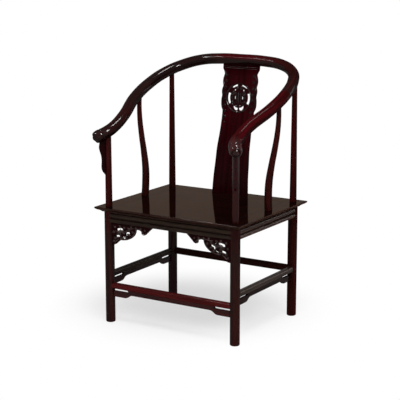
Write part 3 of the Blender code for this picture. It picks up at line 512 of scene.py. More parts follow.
# Stretchers: top, height, painted light (red as if lit, most on the front one), gloss and wood
STRETCHERS = {
    "front": (0.158, 0.0212, 0.95, 0.5, "red"),
    "right": (0.2005, 0.0212, 0.1, 2.2, "rail"),
    "back": (0.2035, 0.025, 0.12, 0.1, "frame"),
    "left": (0.2005, 0.0212, 0.02, 0.9, "rail"),
}
APRON_THICKNESS = 0.01
APRON_ARRIS = 0.0012


def bead_section():
    """Section of the rails beneath the seat: a fillet and two half-round beads."""
    swell, height, groove, back = 0.0045, 0.015, 0.0055, -0.0043
    face = 0.0157 - swell
    quirk = face - 0.006
    first = BEAD_TOP - 0.0058
    second = first - height - groove
    section = [(back, BEAD_TOP), (face, BEAD_TOP), (face, first + 0.002)]
    for top in (first, second):
        section += [(quirk, top + 0.0016), (quirk, top)]
        for k in range(17):
            turn = pi * k / 16
            section.append((face + swell * sin(turn), top - height / 2 * (1 - cos(turn))))
        section.append((quirk, top - height))
    return section + [(quirk, BEAD_LOW), (back, BEAD_LOW)]


def make_bead_rails():
    """Double-beaded rails beneath the seat, their square ends running into the round legs."""
    for k, (label, turn, reach, out) in enumerate(SIDES):
        end = reach - RAIL_END_INSET
        section = [(out + o, z) for o, z in bead_section()]
        rail = drawn("double_bead_rail_" + label, section, -end, end)
        smooth(rail, 50)
        # Painted light: the right rail is painted a paler brown, as if lit from the right, and is
        # glossier
        pale, gloss = (0.9, 2.6) if label == "right" else (0.06, 1.0)
        keep_grain(rail, "X", 0.13 + 0.21 * k, even(pale), even(gloss))
        set_down(rail, (0, MIDDLE_Y, 0), (0, 0, turn))
        dress(rail, "rail", "bead_rail_" + label)


def make_stretchers():
    """Stretchers with rounded arrises, and aprons under all but the back one."""
    for k, (label, turn, reach, out) in enumerate(SIDES):
        top, height, red, gloss, wood = STRETCHERS[label]
        low = top - height
        inner, outer = out - STRETCHER_HALF, out + STRETCHER_HALF
        section = [(outer, top), (inner, top), (inner, low), (outer, low)]
        end = reach - RAIL_END_INSET
        bar = drawn("rounded_stretcher_" + label, section, -end, end)
        ease(bar, STRETCHER_ROUNDING, 6)
        smooth(bar, flat_faces=True)
        keep_grain(bar, "X", 0.31 + 0.17 * k, even(red), even(gloss))
        set_down(bar, (0, MIDDLE_Y, 0), (0, 0, turn))
        dress(bar, wood, "stretcher_" + label)
        if label != "back":
            make_apron(label, turn, reach, out, low, k)


def make_apron(label, turn, half, out, top, k):
    """A shaped apron under a stretcher, with an open slot at each leg."""
    top -= SEAM
    sill = top - 0.0084
    low = top - 0.0181
    ear = low - 0.014
    end, slot = half - 0.006, half - 0.078
    inner, outer = half - 0.108, half - 0.07
    right = [
        (slot - 0.004, top), (slot - 0.0082, (top + sill) / 2), (slot - 0.004, sill),
        (end, sill), (end, ear), (outer, ear), (outer - 0.01, ear + 0.0016),
        ((inner + outer) / 2, (ear + low) / 2), (inner + 0.01, low - 0.0016), (inner, low),
    ]
    outline = both_sides(right, {0, 2, 3, 4, 5, 9})
    apron = sawn("shaped_apron_" + label, [outline], APRON_THICKNESS, APRON_ARRIS)
    smooth(apron)
    keep_grain(apron, "X", 0.05 + 0.3 * k)
    set_down(apron, (0, -out, 0))
    set_down(apron, (0, MIDDLE_Y, 0), (0, 0, turn))
    # The front apron takes the lighter red lacquer that is painted as if lit from the front
    dress(apron, "red" if label == "front" else "frame", "stretcher_apron_" + label)


# Crest rail

CREST_HALF_WIDTH = 0.3085
CREST_BACK = 0.301
CREST_FRONT = 0.2562
CREST_APEX = 0.99
CREST_NOSE = 0.732
CREST_RADII = ((0, 0.0212), (0.25, 0.0212), (0.55, 0.0223), (0.9, 0.0223), (1, 0.0238))
CREST_STEPS = 180
SCARF_LENGTH = 0.08
SCARF_SHARE = 0.4935
# Right half of its line, from the middle: how far it has come across, forward and down
CREST_SHARES = (
    (0, 0, 0), (0.321, 0.001, 0.006), (0.6, 0.017, 0.041), (0.807, 0.082, 0.118),
    (0.94, 0.204, 0.225), (1, 0.367, 0.37), (0.985, 0.558, 0.545), (0.892, 0.765, 0.751),
    (0.882, 0.881, 0.874), (0.905, 0.949, 0.939), (0.97, 1, 1),
)

# Turned end of an arm: share of the nose's radius, and distance beyond the bar's end
NOSE_LENGTH = 0.017
NOSE_PROFILE = (
    (0.995, -0.016), (0.985, -0.0148), (0.93, -0.0136), (0.925, -0.0126), (0.99, -0.0116),
    (1.015, -0.009), (1.025, -0.004), (1.015, 0.001), (0.985, 0.006), (0.93, 0.0105),
    (0.87, 0.0138), (0.79, 0.016), (0.72, 0.0166), (0.67, 0.0156), (0.63, 0.0138),
    (0.59, 0.0134), (0.55, 0.0142), (0.5, 0.0166), (0.41, 0.0196), (0.28, 0.0218),
    (0.14, 0.023), (0, 0.0234),
)

# Finish of each length: red_and_painted_light knots (red where light falls), gloss,
# painted light on the top against painted shade beneath, and gloss of the underside
ARM_PAINTED_TOP_LIGHT = (0.75, 0.45, 0.9)
CREST_FINISH = {
    "crest_back": (
        ((0, 0.06), (0.34, 0.06), (0.42, 0.9), (0.52, 0.86), (0.58, 0.74), (0.7, 0.36), (1, 0.34)),
        ((0, 1.0), (0.38, 1.0), (0.43, 0.3), (0.86, 0.3), (1, 0.9)),
        (0.92, -0.5, 5.0),
        ((0, 1.0), (0.36, 1.0), (0.42, 1.9), (0.62, 1.9), (1, 1.2)),
    ),
    "crest_arm_left": (
        ((0, 0.16), (0.16, 0.22), (0.36, 0.34), (0.55, 0.08), (1, 0.06)),
        ((0, 2.0), (0.09, 2.0), (0.14, 1.0), (0.4, 0.8), (1, 1.0)),
        ARM_PAINTED_TOP_LIGHT, None,
    ),
    "crest_arm_right": (
        ((0, 0.34), (0.22, 1.15), (0.75, 1.15), (1, 0.55)),
        ((0, 0.9), (0.25, 0.45), (0.82, 0.45), (0.91, 4.2), (1, 4.2)),
        ARM_PAINTED_TOP_LIGHT, None,
    ),
}


def crest_line():
    """The horseshoe's centre line, a curve from the left nose round the back to the right."""
    right = []
    for across, forward, drop in CREST_SHARES:
        x = across * CREST_HALF_WIDTH
        y = MIDDLE_Y + CREST_BACK - forward * (CREST_BACK + CREST_FRONT)
        z = CREST_APEX - drop * (CREST_APEX - CREST_NOSE)
        right.append((x, y, z))
    left = [(-x, y, z) for x, y, z in reversed(right[1:])]
    add_spline(new_curve("3D", twist_mode="Z_UP", resolution_u=48), left + right)
    line = bpy.context.object
    line.name = "crest_line"
    return line


def crest_bar(name, length):
    """The whole crest as a straight turned bar with domed ends, lying along X."""
    nose = CREST_RADII[-1][1]
    profile = [(share * nose, -beyond) for share, beyond in reversed(NOSE_PROFILE)]
    for k in range(CREST_STEPS + 1):
        place = length * k / CREST_STEPS
        if NOSE_LENGTH < place < length - NOSE_LENGTH:
            from_middle = abs(place / length - 0.5) * 2
            profile.append((between_knots(CREST_RADII, from_middle), place))
    profile += [(share * nose, length + beyond) for share, beyond in NOSE_PROFILE]
    bar = turned(name, profile, sides=48)
    return set_down(bar, turn=(0, pi / 2, 0))


def trim(piece, low, high):
    """Cut away what lies in a block."""
    low, high = Vector(low), Vector(high)
    waste = block(high - low, (low + high) / 2)
    work(piece, "BOOLEAN", operation="DIFFERENCE", solver="EXACT", object=waste)
    bpy.data.objects.remove(waste)


def make_crest():
    """Crest rail in three lengths with lapped scarf joints, bent from straight bars."""
    line = crest_line()
    length = line.data.splines[0].calc_length()
    scarf = length * 0.5 * SCARF_SHARE
    half = SCARF_LENGTH / 2
    left, right = length / 2 - scarf, length / 2 + scarf
    gap = SEAM / 2
    before, after = -0.1, length + 0.1
    deep = 0.05
    # Each cut: its start and end along the bar, and its lowest and highest share of the depth
    rows = (
        ("crest_length_back", "crest_back", 0.19, (
            (before, left - half, -1, 1), (right + half, after, -1, 1),
            (before, left + half, -1, 0), (right - half, after, -1, 0),
        )),
        ("crest_length_left", "crest_arm_left", 0.47, (
            (left + half, after, -1, 1), (left - half, after, 0, 1),
        )),
        ("crest_length_right", "crest_arm_right", 0.67, (
            (before, right - half, -1, 1), (before, right + half, 0, 1),
        )),
    )
    for name, node, shift, cuts in rows:
        bar = crest_bar(name, length)
        for start, end, low, high in cuts:
            trim(bar, (start - gap, -deep, low * deep - gap), (end + gap, deep, high * deep + gap))
        face_outwards(bar)
        ease(bar, JOINT_ARRIS, 1, 60)
        smooth(bar, 40)
        keep_grain(bar, "X", shift, *CREST_FINISH[node])
        work(bar, "CURVE", object=line, deform_axis="POS_X")
        smooth(bar, 40)
        dress(bar, "crest", node)
    bpy.data.objects.remove(line)


# Splat

SPLAT_HALF_WIDTH = 0.082
SPLAT_THICKNESS = 0.01
SPLAT_ARRIS = 0.001
SPLAT_FOOT = 0.2125
SPLAT_HEAD = 0.9688
SPLAT_BANDS = 40
# Painted light up the splat: red as if lit in its middle, painted shade at the foot, round the
# medallion and beneath the crest
SPLAT_PAINTED_LIGHT = (
    (0, 0.25), (0.35, 0.5), (0.62, 0.85), (0.7, 0.3), (0.8, 0.3), (0.86, 0.75), (1, 0.3),
)
SPLAT_HEAD_GLOSS = 0.07
# Right edge from the seat up, in runs between corners: shares of half the width and the height
SPLAT_EDGE_SHARES = (
    ((0.985, 0), (0.935, 0.18), (0.885, 0.37), (0.843, 0.56), (0.86, 0.645)),
    ((0.905, 0.655), (0.963, 0.715), (0.93, 0.76)),
    ((0.93, 0.76), (0.962, 0.797), (0.912, 0.832)),
    ((0.912, 0.832), (0.957, 0.873), (0.885, 0.928)),
    ((0.885, 0.928), (0.925, 0.945), (0.985, 0.962), (1, 0.992)),
)
# How far it has leaned back at even steps up, as shares of the way from seat to crest
SPLAT_LEAN_SHARES = (0, 0.13, 0.34, 0.65, 0.82, 1)

EDGE_RELIEF = 0.0018
# Scrolls along the edge: height and across shares, size, first turn and hand
EDGE_SCROLLS = (
    (0.915, 0.76, 0.006, 0.1, 1), (0.868, 0.77, 0.0065, 0.6, -1), (0.82, 0.78, 0.006, 0.15, 1),
    (0.775, 0.8, 0.0055, 0.65, -1), (0.73, 0.79, 0.006, 0.2, 1), (0.685, 0.76, 0.006, 0.7, -1),
    (0.64, 0.7, 0.0055, 0.25, 1), (0.595, 0.68, 0.0045, 0.7, -1), (0.555, 0.69, 0.004, 0.25, 1),
)

# Medallion, in shares of its radius from its middle
MEDALLION_HEIGHT = 0.8393
MEDALLION_RADIUS = 0.052
MEDALLION_RELIEF = 0.002
LOBE_OPENING_SHARES = (
    (0.045, -0.78), (0.045, -0.89), (0.24, -0.96), (0.43, -0.8), (0.445, -0.59),
    (0.36, -0.6), (0.22, -0.73),
)
# Scrolls: across, up, size, first turn, turns, thickness and hand
MEDALLION_SCROLLS = (
    (0.47, 0.3, 0.16, 0.55, 1.3, 1.0, -1),
    (0.5, -0.36, 0.18, 0.45, 1.3, 1.0, 1),
    (0.2, 0.72, 0.14, -0.1, 1.2, 0.9, 1),
)
# Bars and the petal in the middle: across, up and thickness
MEDALLION_BARS = (
    ((0.17, 0.4, 0.6), (0.2, 0, 1.2), (0.17, -0.42, 0.6)),
    ((0.47, 0.12, 0.7), (0.58, 0.02, 1), (0.47, -0.12, 0.7)),
    ((0.06, -0.6, 0.8), (0.24, -0.62, 1), (0.4, -0.62, 0.6)),
)
MEDALLION_PETAL = ((0, 0.5, 0.5), (0, 0, 2.2), (0, -0.5, 0.5))


def ring_arc(start, end, inner, outer, steps):
    """An opening between two radii of the medallion, over a range of full turns."""
    points = []
    for radius, first, last in ((outer, start, end), (inner, end, start)):
        reach = MEDALLION_RADIUS * radius
        for k in range(steps + 1):
            turn = tau * (first + (last - first) * k / steps)
            points.append((reach * cos(turn), reach * sin(turn)))
    return points, {0, steps, steps + 1, 2 * steps + 1}


def medallion_openings():
    """Openings of the pierced rosette, the same on both sides of its middle."""
    radius = MEDALLION_RADIUS
    right = [
        ring_arc(-0.088, 0.066, 0.75, 1.0, 8),
        ring_arc(0.138, 0.222, 0.9, 1.02, 6),
        (sized(LOBE_OPENING_SHARES, (radius, radius)), set()),
        oval(0.32 * radius, 0, 0.068 * radius, 0.17 * radius),
        oval(0.37 * radius, 0.58 * radius, 0.004, 0.004),
    ]
    openings = []
    for points, sharp in right:
        openings += [(points, sharp), mirrored(points, sharp)]
    return openings


def medallion_strokes():
    """Raised strokes of the rosette: a petal in the middle, scrolls and bars on both sides."""
    radius, centre = MEDALLION_RADIUS, MEDALLION_HEIGHT

    def placed(stroke):
        return [(x, centre + z, thick) for x, z, thick in sized(stroke, (radius, radius))]

    right = []
    for across, up, size, start, turns, thick, hand in MEDALLION_SCROLLS:
        middle = (across * radius, centre + up * radius)
        right.append(spiral(*middle, size * radius, start, turns, thick, hand))
    right += [placed(bar) for bar in MEDALLION_BARS]
    rim, reach = [], 1.07 * radius
    for k in range(25):
        turn = tau * k / 24
        rim.append((reach * cos(turn), centre + reach * sin(turn), 1))
    return right + [flipped(stroke) for stroke in right] + [placed(MEDALLION_PETAL), rim]


def edge_strokes(edge, height):
    """Raised strokes along the splat: a bead and scrolls at each edge, bars under the crest."""
    inset, reach = 0.005, 0.92 * SPLAT_HALF_WIDTH
    right = [[(x - inset, z, 1) for x, z in edge[3:] if z < SPLAT_HEAD - 0.02]]
    for share, across, size, start, hand in EDGE_SCROLLS:
        middle = (across * SPLAT_HALF_WIDTH, SEAT_TOP + share * height)
        right.append(spiral(*middle, size, start, 1.4, 1.0, hand))
    strokes = right + [flipped(stroke) for stroke in right]
    for drop in (0.0085, 0.015):
        level = SPLAT_HEAD - drop
        strokes.append([(-reach, level, 0.8), (0, level, 0.8), (reach, level, 0.8)])
    return strokes


def lean_back(pieces):
    """Bend flat work to the splat's S with a lattice."""
    clear_selection()
    bpy.ops.object.add(type="LATTICE", location=(0, 0, (SEAT_TOP + SPLAT_HEAD) / 2))
    cage = bpy.context.object
    cage.data.points_u = 2
    cage.data.points_v = 2
    cage.data.points_w = len(SPLAT_LEAN_SHARES)
    cage.data.interpolation_type_w = "KEY_CARDINAL"
    cage.scale = (1, 1, SPLAT_HEAD - SEAT_TOP)
    reach = CREST_BACK - SPLAT_FOOT
    for k, point in enumerate(cage.data.points):
        point.co_deform.y += MIDDLE_Y + SPLAT_FOOT + reach * SPLAT_LEAN_SHARES[k // 4]
    for piece in pieces:
        work(piece, "LATTICE", object=cage)
    bpy.data.objects.remove(cage)


def make_splat():
    """The pierced splat, its scalloped edge and rosette carved, leaning back in an S."""
    height = SPLAT_HEAD - SEAT_TOP
    edge, sharp = join_runs(SPLAT_EDGE_SHARES, (SPLAT_HALF_WIDTH, height))
    edge = [(x, SEAT_TOP + z) for x, z in edge]
    foot, head = (edge[0][0], SEAT_TOP - HOUSING), (edge[-1][0], SPLAT_HEAD + HOUSING)
    corners = {0} | {k + 1 for k in sharp} | {len(edge) + 1}
    outlines = [both_sides([foot] + edge + [head], corners)]
    for opening, sharp in medallion_openings():
        outlines.append(([(x, MEDALLION_HEIGHT + z) for x, z in opening], sharp))
    board = sawn("carved_splat", outlines, SPLAT_THICKNESS, SPLAT_ARRIS)
    edit(board)
    for k in range(SPLAT_BANDS + 1):
        bpy.ops.mesh.select_all(action="SELECT")
        level = SEAT_TOP + height * k / SPLAT_BANDS
        bpy.ops.mesh.bisect(plane_co=(0, 0, level), plane_no=(0, 0, 1))
    rosette = rib("splat_rosette_carving", medallion_strokes(), SPLAT_THICKNESS, MEDALLION_RELIEF)
    beads = rib("splat_edge_carving", edge_strokes(edge, height), SPLAT_THICKNESS, EDGE_RELIEF)
    pieces = (board, rosette, beads)
    for piece, shift, gloss in zip(pieces, (0.33, 0.35, 0.36), (1.0, 0.65, 0.15)):
        red_and_painted_light = SPLAT_PAINTED_LIGHT if piece is board else even(0.08)
        head_gloss = min(gloss, SPLAT_HEAD_GLOSS)
        sheen = ((0, gloss), (0.9, gloss), (0.94, head_gloss), (1, head_gloss))
        keep_grain(piece, "Z", shift, red_and_painted_light, sheen)
    lean_back(pieces)
    for piece in pieces:
        smooth(piece, 40)
    dress(board, "carved", "splat")
    dress(rosette, "carving")
    dress(beads, "carving")


# Side posts

SIDE_POST_TOP_X = 0.3096
SIDE_POST_TOP = 0.8699
SIDE_POST_BEHIND = 0.023
SIDE_POST_LEAN = 0.015
SIDE_POST_LOW_RADIUS = 0.0147
SIDE_POST_TOP_RADIUS = 0.009
# Up the post: shares of the height, of the sweep outwards and of the taper
SIDE_POST_SHARES = (
    (0, 0, 0), (0.12, -0.07, 0.02), (0.26, -0.03, 0.12), (0.42, 0.27, 0.42),
    (0.58, 0.68, 0.62), (0.74, 1, 0.8), (0.87, 1.1, 0.95), (1, 1.05, 1),
)


def make_side_posts():
    """Side posts that swell at the foot and sweep out in an S to the arms."""
    reach = SIDE_POST_TOP_X - LEG_X
    taper = SIDE_POST_TOP_RADIUS - SIDE_POST_LOW_RADIUS
    radii = [SIDE_POST_LOW_RADIUS + taper * slim for _, _, slim in SIDE_POST_SHARES]
    for label, side, shift in (("left", -1, 0.29), ("right", 1, 0.61)):
        curve = new_curve(
            "3D", bevel_depth=1, bevel_resolution=12, resolution_u=10, use_fill_caps=True,
            twist_mode="Z_UP",
        )
        points = []
        for rise, sweep, _ in SIDE_POST_SHARES:
            x = side * (LEG_X + reach * sweep)
            y = MIDDLE_Y + SIDE_POST_BEHIND + SIDE_POST_LEAN * rise
            points.append((x, y, SEAT_TOP + 0.0002 + (SIDE_POST_TOP - SEAT_TOP) * rise))
        add_spline(curve, points, radii=radii)
        post = smooth(as_mesh("swept_side_post_" + label))
        keep_grain(post, "Z", shift, ((0, 0.45), (1, 0.5)), ((0, 0.4), (1, 0.5)))
        dress(post, "frame", "side_post_" + label)


# Corner brackets under the front rail, in shares of their length and drop from the corner

SPANDREL_LENGTH = 0.185
SPANDREL_DROP = 0.086
SPANDREL_EDGE_SHARES = (
    ((0, 1), (0.07, 0.965), (0.14, 0.85), (0.205, 0.735)),
    ((0.205, 0.735), (0.3, 0.725), (0.42, 0.655), (0.505, 0.54), (0.56, 0.415), (0.585, 0.3)),
    ((0.585, 0.3), (0.602, 0.19), (0.67, 0.165), (0.738, 0.225)),
    ((0.738, 0.225), (0.752, 0.345), (0.81, 0.36), (0.865, 0.265), (0.935, 0.12), (1, 0)),
)
SPANDREL_OPENING_SHARES = (
    (
        (0.262, 0.218), (0.262, 0.29), (0.205, 0.292), (0.168, 0.352), (0.124, 0.345),
        (0.112, 0.258), (0.158, 0.212),
    ),
    (
        (0.44, 0.35), (0.425, 0.41), (0.385, 0.44), (0.37, 0.52), (0.335, 0.47),
        (0.345, 0.37), (0.39, 0.325),
    ),
    ((0.19, 0.55), (0.17, 0.625), (0.12, 0.645), (0.088, 0.59), (0.135, 0.525)),
    ((0.328, 0.58), (0.32, 0.64), (0.27, 0.66), (0.245, 0.62), (0.282, 0.568)),
)
SPANDREL_EYE_SHARES = ((0.46, 0.48), (0.335, 0.255))
# Scrolls: place, size in metres, first turn, turns and hand
SPANDREL_SCROLLS = (
    (0.17, 0.42, 0.0085, 0.25, 1.5, 1), (0.3, 0.37, 0.0075, 0.6, 1.4, -1),
    (0.24, 0.64, 0.006, 0.1, 1.3, 1), (0.42, 0.22, 0.006, 0.35, 1.3, -1),
    (0.08, 0.66, 0.0055, 0.9, 1.2, -1), (0.36, 0.56, 0.005, 0.3, 1.2, 1),
    (0.08, 0.16, 0.0045, 0.5, 1.2, 1), (0.52, 0.3, 0.0045, 0.2, 1.2, 1),
    (0.3, 0.14, 0.0045, 0.15, 1.2, -1), (0.2, 0.1, 0.004, 0.7, 1.2, 1),
    (0.48, 0.08, 0.004, 0.4, 1.2, -1), (0.6, 0.1, 0.0038, 0.1, 1.2, 1),
    (0.72, 0.1, 0.0036, 0.6, 1.2, -1), (0.82, 0.14, 0.0034, 0.2, 1.2, 1),
    (0.05, 0.4, 0.0045, 0.3, 1.2, 1), (0.21, 0.47, 0.005, 0.8, 1.3, -1),
    (0.36, 0.3, 0.0045, 0.55, 1.2, 1), (0.04, 0.8, 0.0036, 0.5, 1.2, 1),
)
# Leaves and buds: place and thickness
SPANDREL_BUD_SHARES = (
    ((0.3, 0.34, 1.6), (0.24, 0.335, 2.5), (0.19, 0.335, 2.9), (0.17, 0.4, 2.2)),
    ((0.08, 0.33, 0.6), (0.12, 0.345, 0.8), (0.18, 0.36, 0.7)),
    ((0.225, 0.18, 0.4), (0.22, 0.24, 0.7), (0.215, 0.3, 0.4)),
    ((0.455, 0.475, 1.2), (0.412, 0.428, 2.2), (0.375, 0.42, 1.4)),
    ((0.205, 0.6, 1.0), (0.155, 0.622, 2.0), (0.09, 0.64, 1.2)),
    ((0.33, 0.56, 0.6), (0.29, 0.6, 0.9), (0.25, 0.65, 0.6)),
    ((0.06, 0.88, 0.7), (0.11, 0.78, 1.3), (0.17, 0.7, 0.8)),
    ((0.56, 0.33, 0.7), (0.53, 0.44, 1.1), (0.47, 0.56, 0.7)),
    ((0.64, 0.1, 0.8), (0.72, 0.16, 1.2), (0.79, 0.29, 0.8)),
    ((0.56, 0.12, 0.6), (0.47, 0.15, 1.0), (0.38, 0.13, 0.6)),
)


def make_spandrels():
    """Pierced and carved brackets in the front corners."""
    thickness, arris, relief = 0.009, 0.0011, 0.0017
    into_leg, forward, eye, bead_inset = 0.01, 0.004, 0.003, 0.0032
    scale = (SPANDREL_LENGTH, -SPANDREL_DROP)
    start = LEG_RADIUS - LEG_X
    top = BEAD_LOW - SEAM
    edge, sharp = join_runs(SPANDREL_EDGE_SHARES, scale)
    outline = [(-into_leg, 0), (-into_leg, edge[0][1])] + edge
    corners = {0, 1} | {k + 2 for k in sharp}
    openings = [sized(knots, scale) for knots in SPANDREL_OPENING_SHARES]
    openings += [oval(x, z, eye, eye)[0] for x, z in sized(SPANDREL_EYE_SHARES, scale)]
    strokes = []
    for across, down, size, begin, turns, hand in SPANDREL_SCROLLS:
        middle = (across * scale[0], down * scale[1])
        strokes.append(spiral(*middle, size, begin, turns, 1.0, hand))
    strokes += [sized(bud, scale) for bud in SPANDREL_BUD_SHARES]
    strokes.append([(x, z + bead_inset, 1) for x, z in edge[3:-2]])
    for label, side, shift in (("left", -1, 0.23), ("right", 1, 0.43)):
        def placed(points):
            return [(-side * (start + x), top + z, *rest) for x, z, *rest in points]

        outlines = [(placed(outline), corners)] + [(placed(hole), set()) for hole in openings]
        board = sawn("carved_spandrel_" + label, outlines, thickness, arris, 6)
        lines = [placed(stroke) for stroke in strokes]
        carving = rib("spandrel_carving_" + label, lines, thickness, relief)
        # Painted highlights: the relief gets much painted light, the carving lacquer's pale
        # pink-grey
        for piece, red in ((board, 0.12), (carving, 0.8)):
            smooth(piece, 40)
            keep_grain(piece, "X", shift, even(red))
            set_down(piece, (0, MIDDLE_Y - LEG_Y - forward, 0))
        dress(board, "carved", "spandrel_" + label)
        dress(carving, "carving")


# Brackets under the grips

GRIP_UNDERSIDE = 0.7277
# Way that the grip flares out from the post
GRIP_FLARE_X = 0.01925
GRIP_FLARE_Y = 0.0347
GRIP_EDGE_SHARES = (
    ((0.86, 0), (0.94, 0.15), (1, 0.26), (0.92, 0.36), (0.77, 0.49), (0.72, 0.62)),
    ((0.72, 0.62), (0.745, 0.73), (0.735, 0.81), (0.61, 0.9), (0.43, 0.955), (0.3, 1)),
)


def make_grip_brackets():
    """Slender shaped boards between the front posts and the undersides of the grips."""
    reach, drop, thickness, arris = 0.037, 0.148, 0.011, 0.0022
    edge, sharp = join_runs(GRIP_EDGE_SHARES, (reach, -drop))
    edge = [(x, GRIP_UNDERSIDE + z) for x, z in edge]
    top = GRIP_UNDERSIDE + 0.012
    outline = [(HOUSING, edge[-1][1]), (HOUSING, top), (edge[0][0], top)] + edge
    corners = {0, 1, 2} | {k + 3 for k in sharp if k != 5}
    # Painted light: the right bracket is painted red as if lit, and is glossier
    for label, side, red, gloss in (("left", -1, 0.12, 1.0), ("right", 1, 1.0, 9.0)):
        name = "shaped_grip_bracket_" + label
        bracket = sawn(name, [(outline, corners)], thickness, arris)
        smooth(bracket, 40)
        keep_grain(bracket, "Z", 0.15 + 0.2 * side, even(red), even(gloss))
        flare = atan2(-GRIP_FLARE_Y, side * GRIP_FLARE_X)
        set_down(bracket, (side * LEG_X, MIDDLE_Y - LEG_Y, 0), (0, 0, flare))
        dress(bracket, "carved", "grip_bracket_" + label)


# Materials

# How fine each layer of the grain is, along the plank and across it
BAND_SCALE = (1.6, 30, 30)
FIBRE_SCALE = (8, 300, 300)
PORE_SCALE = (30, 700, 700)
BUMP_HEIGHT = 0.0002
WARM_GLEAM = (1.0, 0.56, 0.3, 1)


class Tone:
    """What comes out of a node, summed and mixed like a number."""

    def __init__(self, finish, socket):
        self.finish = finish
        self.socket = socket

    def maths(self, operation, first, second):
        return self.finish.node("ShaderNodeMath", {"operation": operation}, {0: first, 1: second})

    def __add__(self, other):
        return self.maths("ADD", self, other)

    __radd__ = __add__

    def __sub__(self, other):
        return self.maths("SUBTRACT", self, other)

    def __rsub__(self, other):
        return self.maths("SUBTRACT", other, self)

    def __mul__(self, other):
        return self.maths("MULTIPLY", self, other)

    __rmul__ = __mul__


class Finish:
    """A node tree that is built up from expressions."""

    def __init__(self, tree):
        self.tree = tree

    def node(self, kind, settings=None, values=None, out=0):
        """One node of a type, with its settings and the values or links of its sockets."""
        made = self.tree.nodes.new(kind)
        for key, value in (settings or {}).items():
            setattr(made, key, value)
        self.fill(made, values or {})
        return Tone(self, made.outputs[out])

    def fill(self, made, values):
        """Give a node's sockets their values or links."""
        for key, value in values.items():
            if isinstance(value, Tone):
                self.tree.links.new(value.socket, made.inputs[key])
            else:
                made.inputs[key].default_value = value

    def stretched(self, place, scale):
        """A place with its axes drawn out by a scale."""
        return self.node("ShaderNodeVectorMath", {"operation": "MULTIPLY"}, {0: place, 1: scale})

    def noise(self, place, detail, roughness, scale=1.0, distortion=0.0):
        """Noise from 0 to 1."""
        names = ("Vector", "Scale", "Detail", "Roughness", "Distortion")
        values = dict(zip(names, (place, scale, detail, roughness, distortion)))
        return self.node("ShaderNodeTexNoise", None, values)

    def between(self, value, low, high):
        """A value's share of the way from low to high, eased and clamped."""
        settings = {"interpolation_type": "SMOOTHSTEP"}
        values = {"Value": value, "From Min": low, "From Max": high}
        return self.node("ShaderNodeMapRange", settings, values)

    def blend(self, first, second, factor):
        """Two colours mixed by a factor, through the Mix node's colour sockets."""
        values = {0: factor, 6: first, 7: second}
        return self.node("ShaderNodeMix", {"data_type": "RGBA"}, values, out=2)

    def shown(self):
        """1 on the rays that see the white: the camera's, and those of gloss and transmission."""
        kinds = ("Is Camera Ray", "Is Glossy Ray", "Is Transmission Ray")
        seen, glossy, passed = [self.node("ShaderNodeLightPath", out=kind) for kind in kinds]
        return seen + glossy + passed


def lacquered_wood(
    name, deep, middle, painted_light_colour, coat, coat_roughness, rim_hold=0.0, carried=False, metal=0.0, dull=1.0
):
    """Dark red hardwood under clear lacquer, its grain drawn out along the plank.

    The grain runs from deep to middle, and red_and_painted_light blends in painted_light_colour:
    the wood's red with painted light and shade on it. The coat holds back where a surface turns
    away. A carried CAD node has no grain, painted light or gloss written down.
    """
    material = bpy.data.materials.new(name)
    material.use_nodes = True
    finish = Finish(material.node_tree)
    if carried:
        place = finish.node("ShaderNodeTexCoord", out="Object")
        red_and_painted_light, gloss = 0.35, 1.0
    else:
        place = finish.node("ShaderNodeAttribute", {"attribute_name": "grain"}, out="Vector")
        red_and_painted_light = finish.node("ShaderNodeAttribute", {"attribute_name": "red_and_painted_light"}, out="Fac")
        gloss = finish.node("ShaderNodeAttribute", {"attribute_name": "gloss"}, out="Fac")
    bands = finish.noise(finish.stretched(place, BAND_SCALE), 3.0, 0.6, distortion=1.2)
    fibres = finish.noise(finish.stretched(place, FIBRE_SCALE), 4.0, 0.65)
    pores = finish.noise(finish.stretched(place, PORE_SCALE), 1.0, 0.5)
    wear = finish.noise(place, 4.0, 0.6, scale=14.0)
    smudges = finish.noise(place, 3.0, 0.7, scale=55.0)
    band_share = finish.between(bands, 0.38, 0.66)
    fibre_share = finish.between(fibres, 0.35, 0.72)
    pore_share = finish.between(pores, 0.66, 0.74)
    body = finish.blend((*deep, 1), (*middle, 1), band_share)
    # Painted light: the colour turns to the lit red where red_and_painted_light is high
    lit = finish.blend(body, (*painted_light_colour, 1), red_and_painted_light * (0.35 + 0.65 * band_share) + fibre_share * 0.12)
    dark = tuple(0.35 * c for c in deep)
    colour = finish.blend(lit, (*dark, 1), pore_share * 0.5)
    height = fibres * 0.35 - pore_share * 0.65
    bump = {"Height": height, "Strength": 0.3, "Distance": BUMP_HEIGHT}
    rim = finish.node("ShaderNodeLayerWeight", None, {"Blend": 0.5}, out="Facing")
    # Less coat where painted light makes the wood red, and more or less with random wear
    coat_wear_and_light = (1.15 - 0.75 * red_and_painted_light) * (0.82 + 0.3 * wear)
    finish.fill(material.node_tree.nodes["Principled BSDF"], {
        "Base Color": colour,
        "Roughness": dull * (0.3 + 0.16 * smudges + 0.1 * pore_share),
        "Metallic": metal,
        "Specular Tint": WARM_GLEAM,
        "Coat Weight": coat * gloss * coat_wear_and_light * (1 - rim_hold * rim * rim),
        "Coat Roughness": coat_roughness,
        "Coat IOR": 1.5,
        "Specular IOR Level": 0.0,
        "Normal": finish.node("ShaderNodeBump", None, bump),
    })
    return material


# Deep and middle tones of the crest's grain, and the red of its painted light
DEEP = (0.005, 0.0021, 0.0014)
MIDDLE = (0.0125, 0.0055, 0.0037)
PAINTED_LIGHT_COLOUR = (0.06, 0.0022, 0.0042)
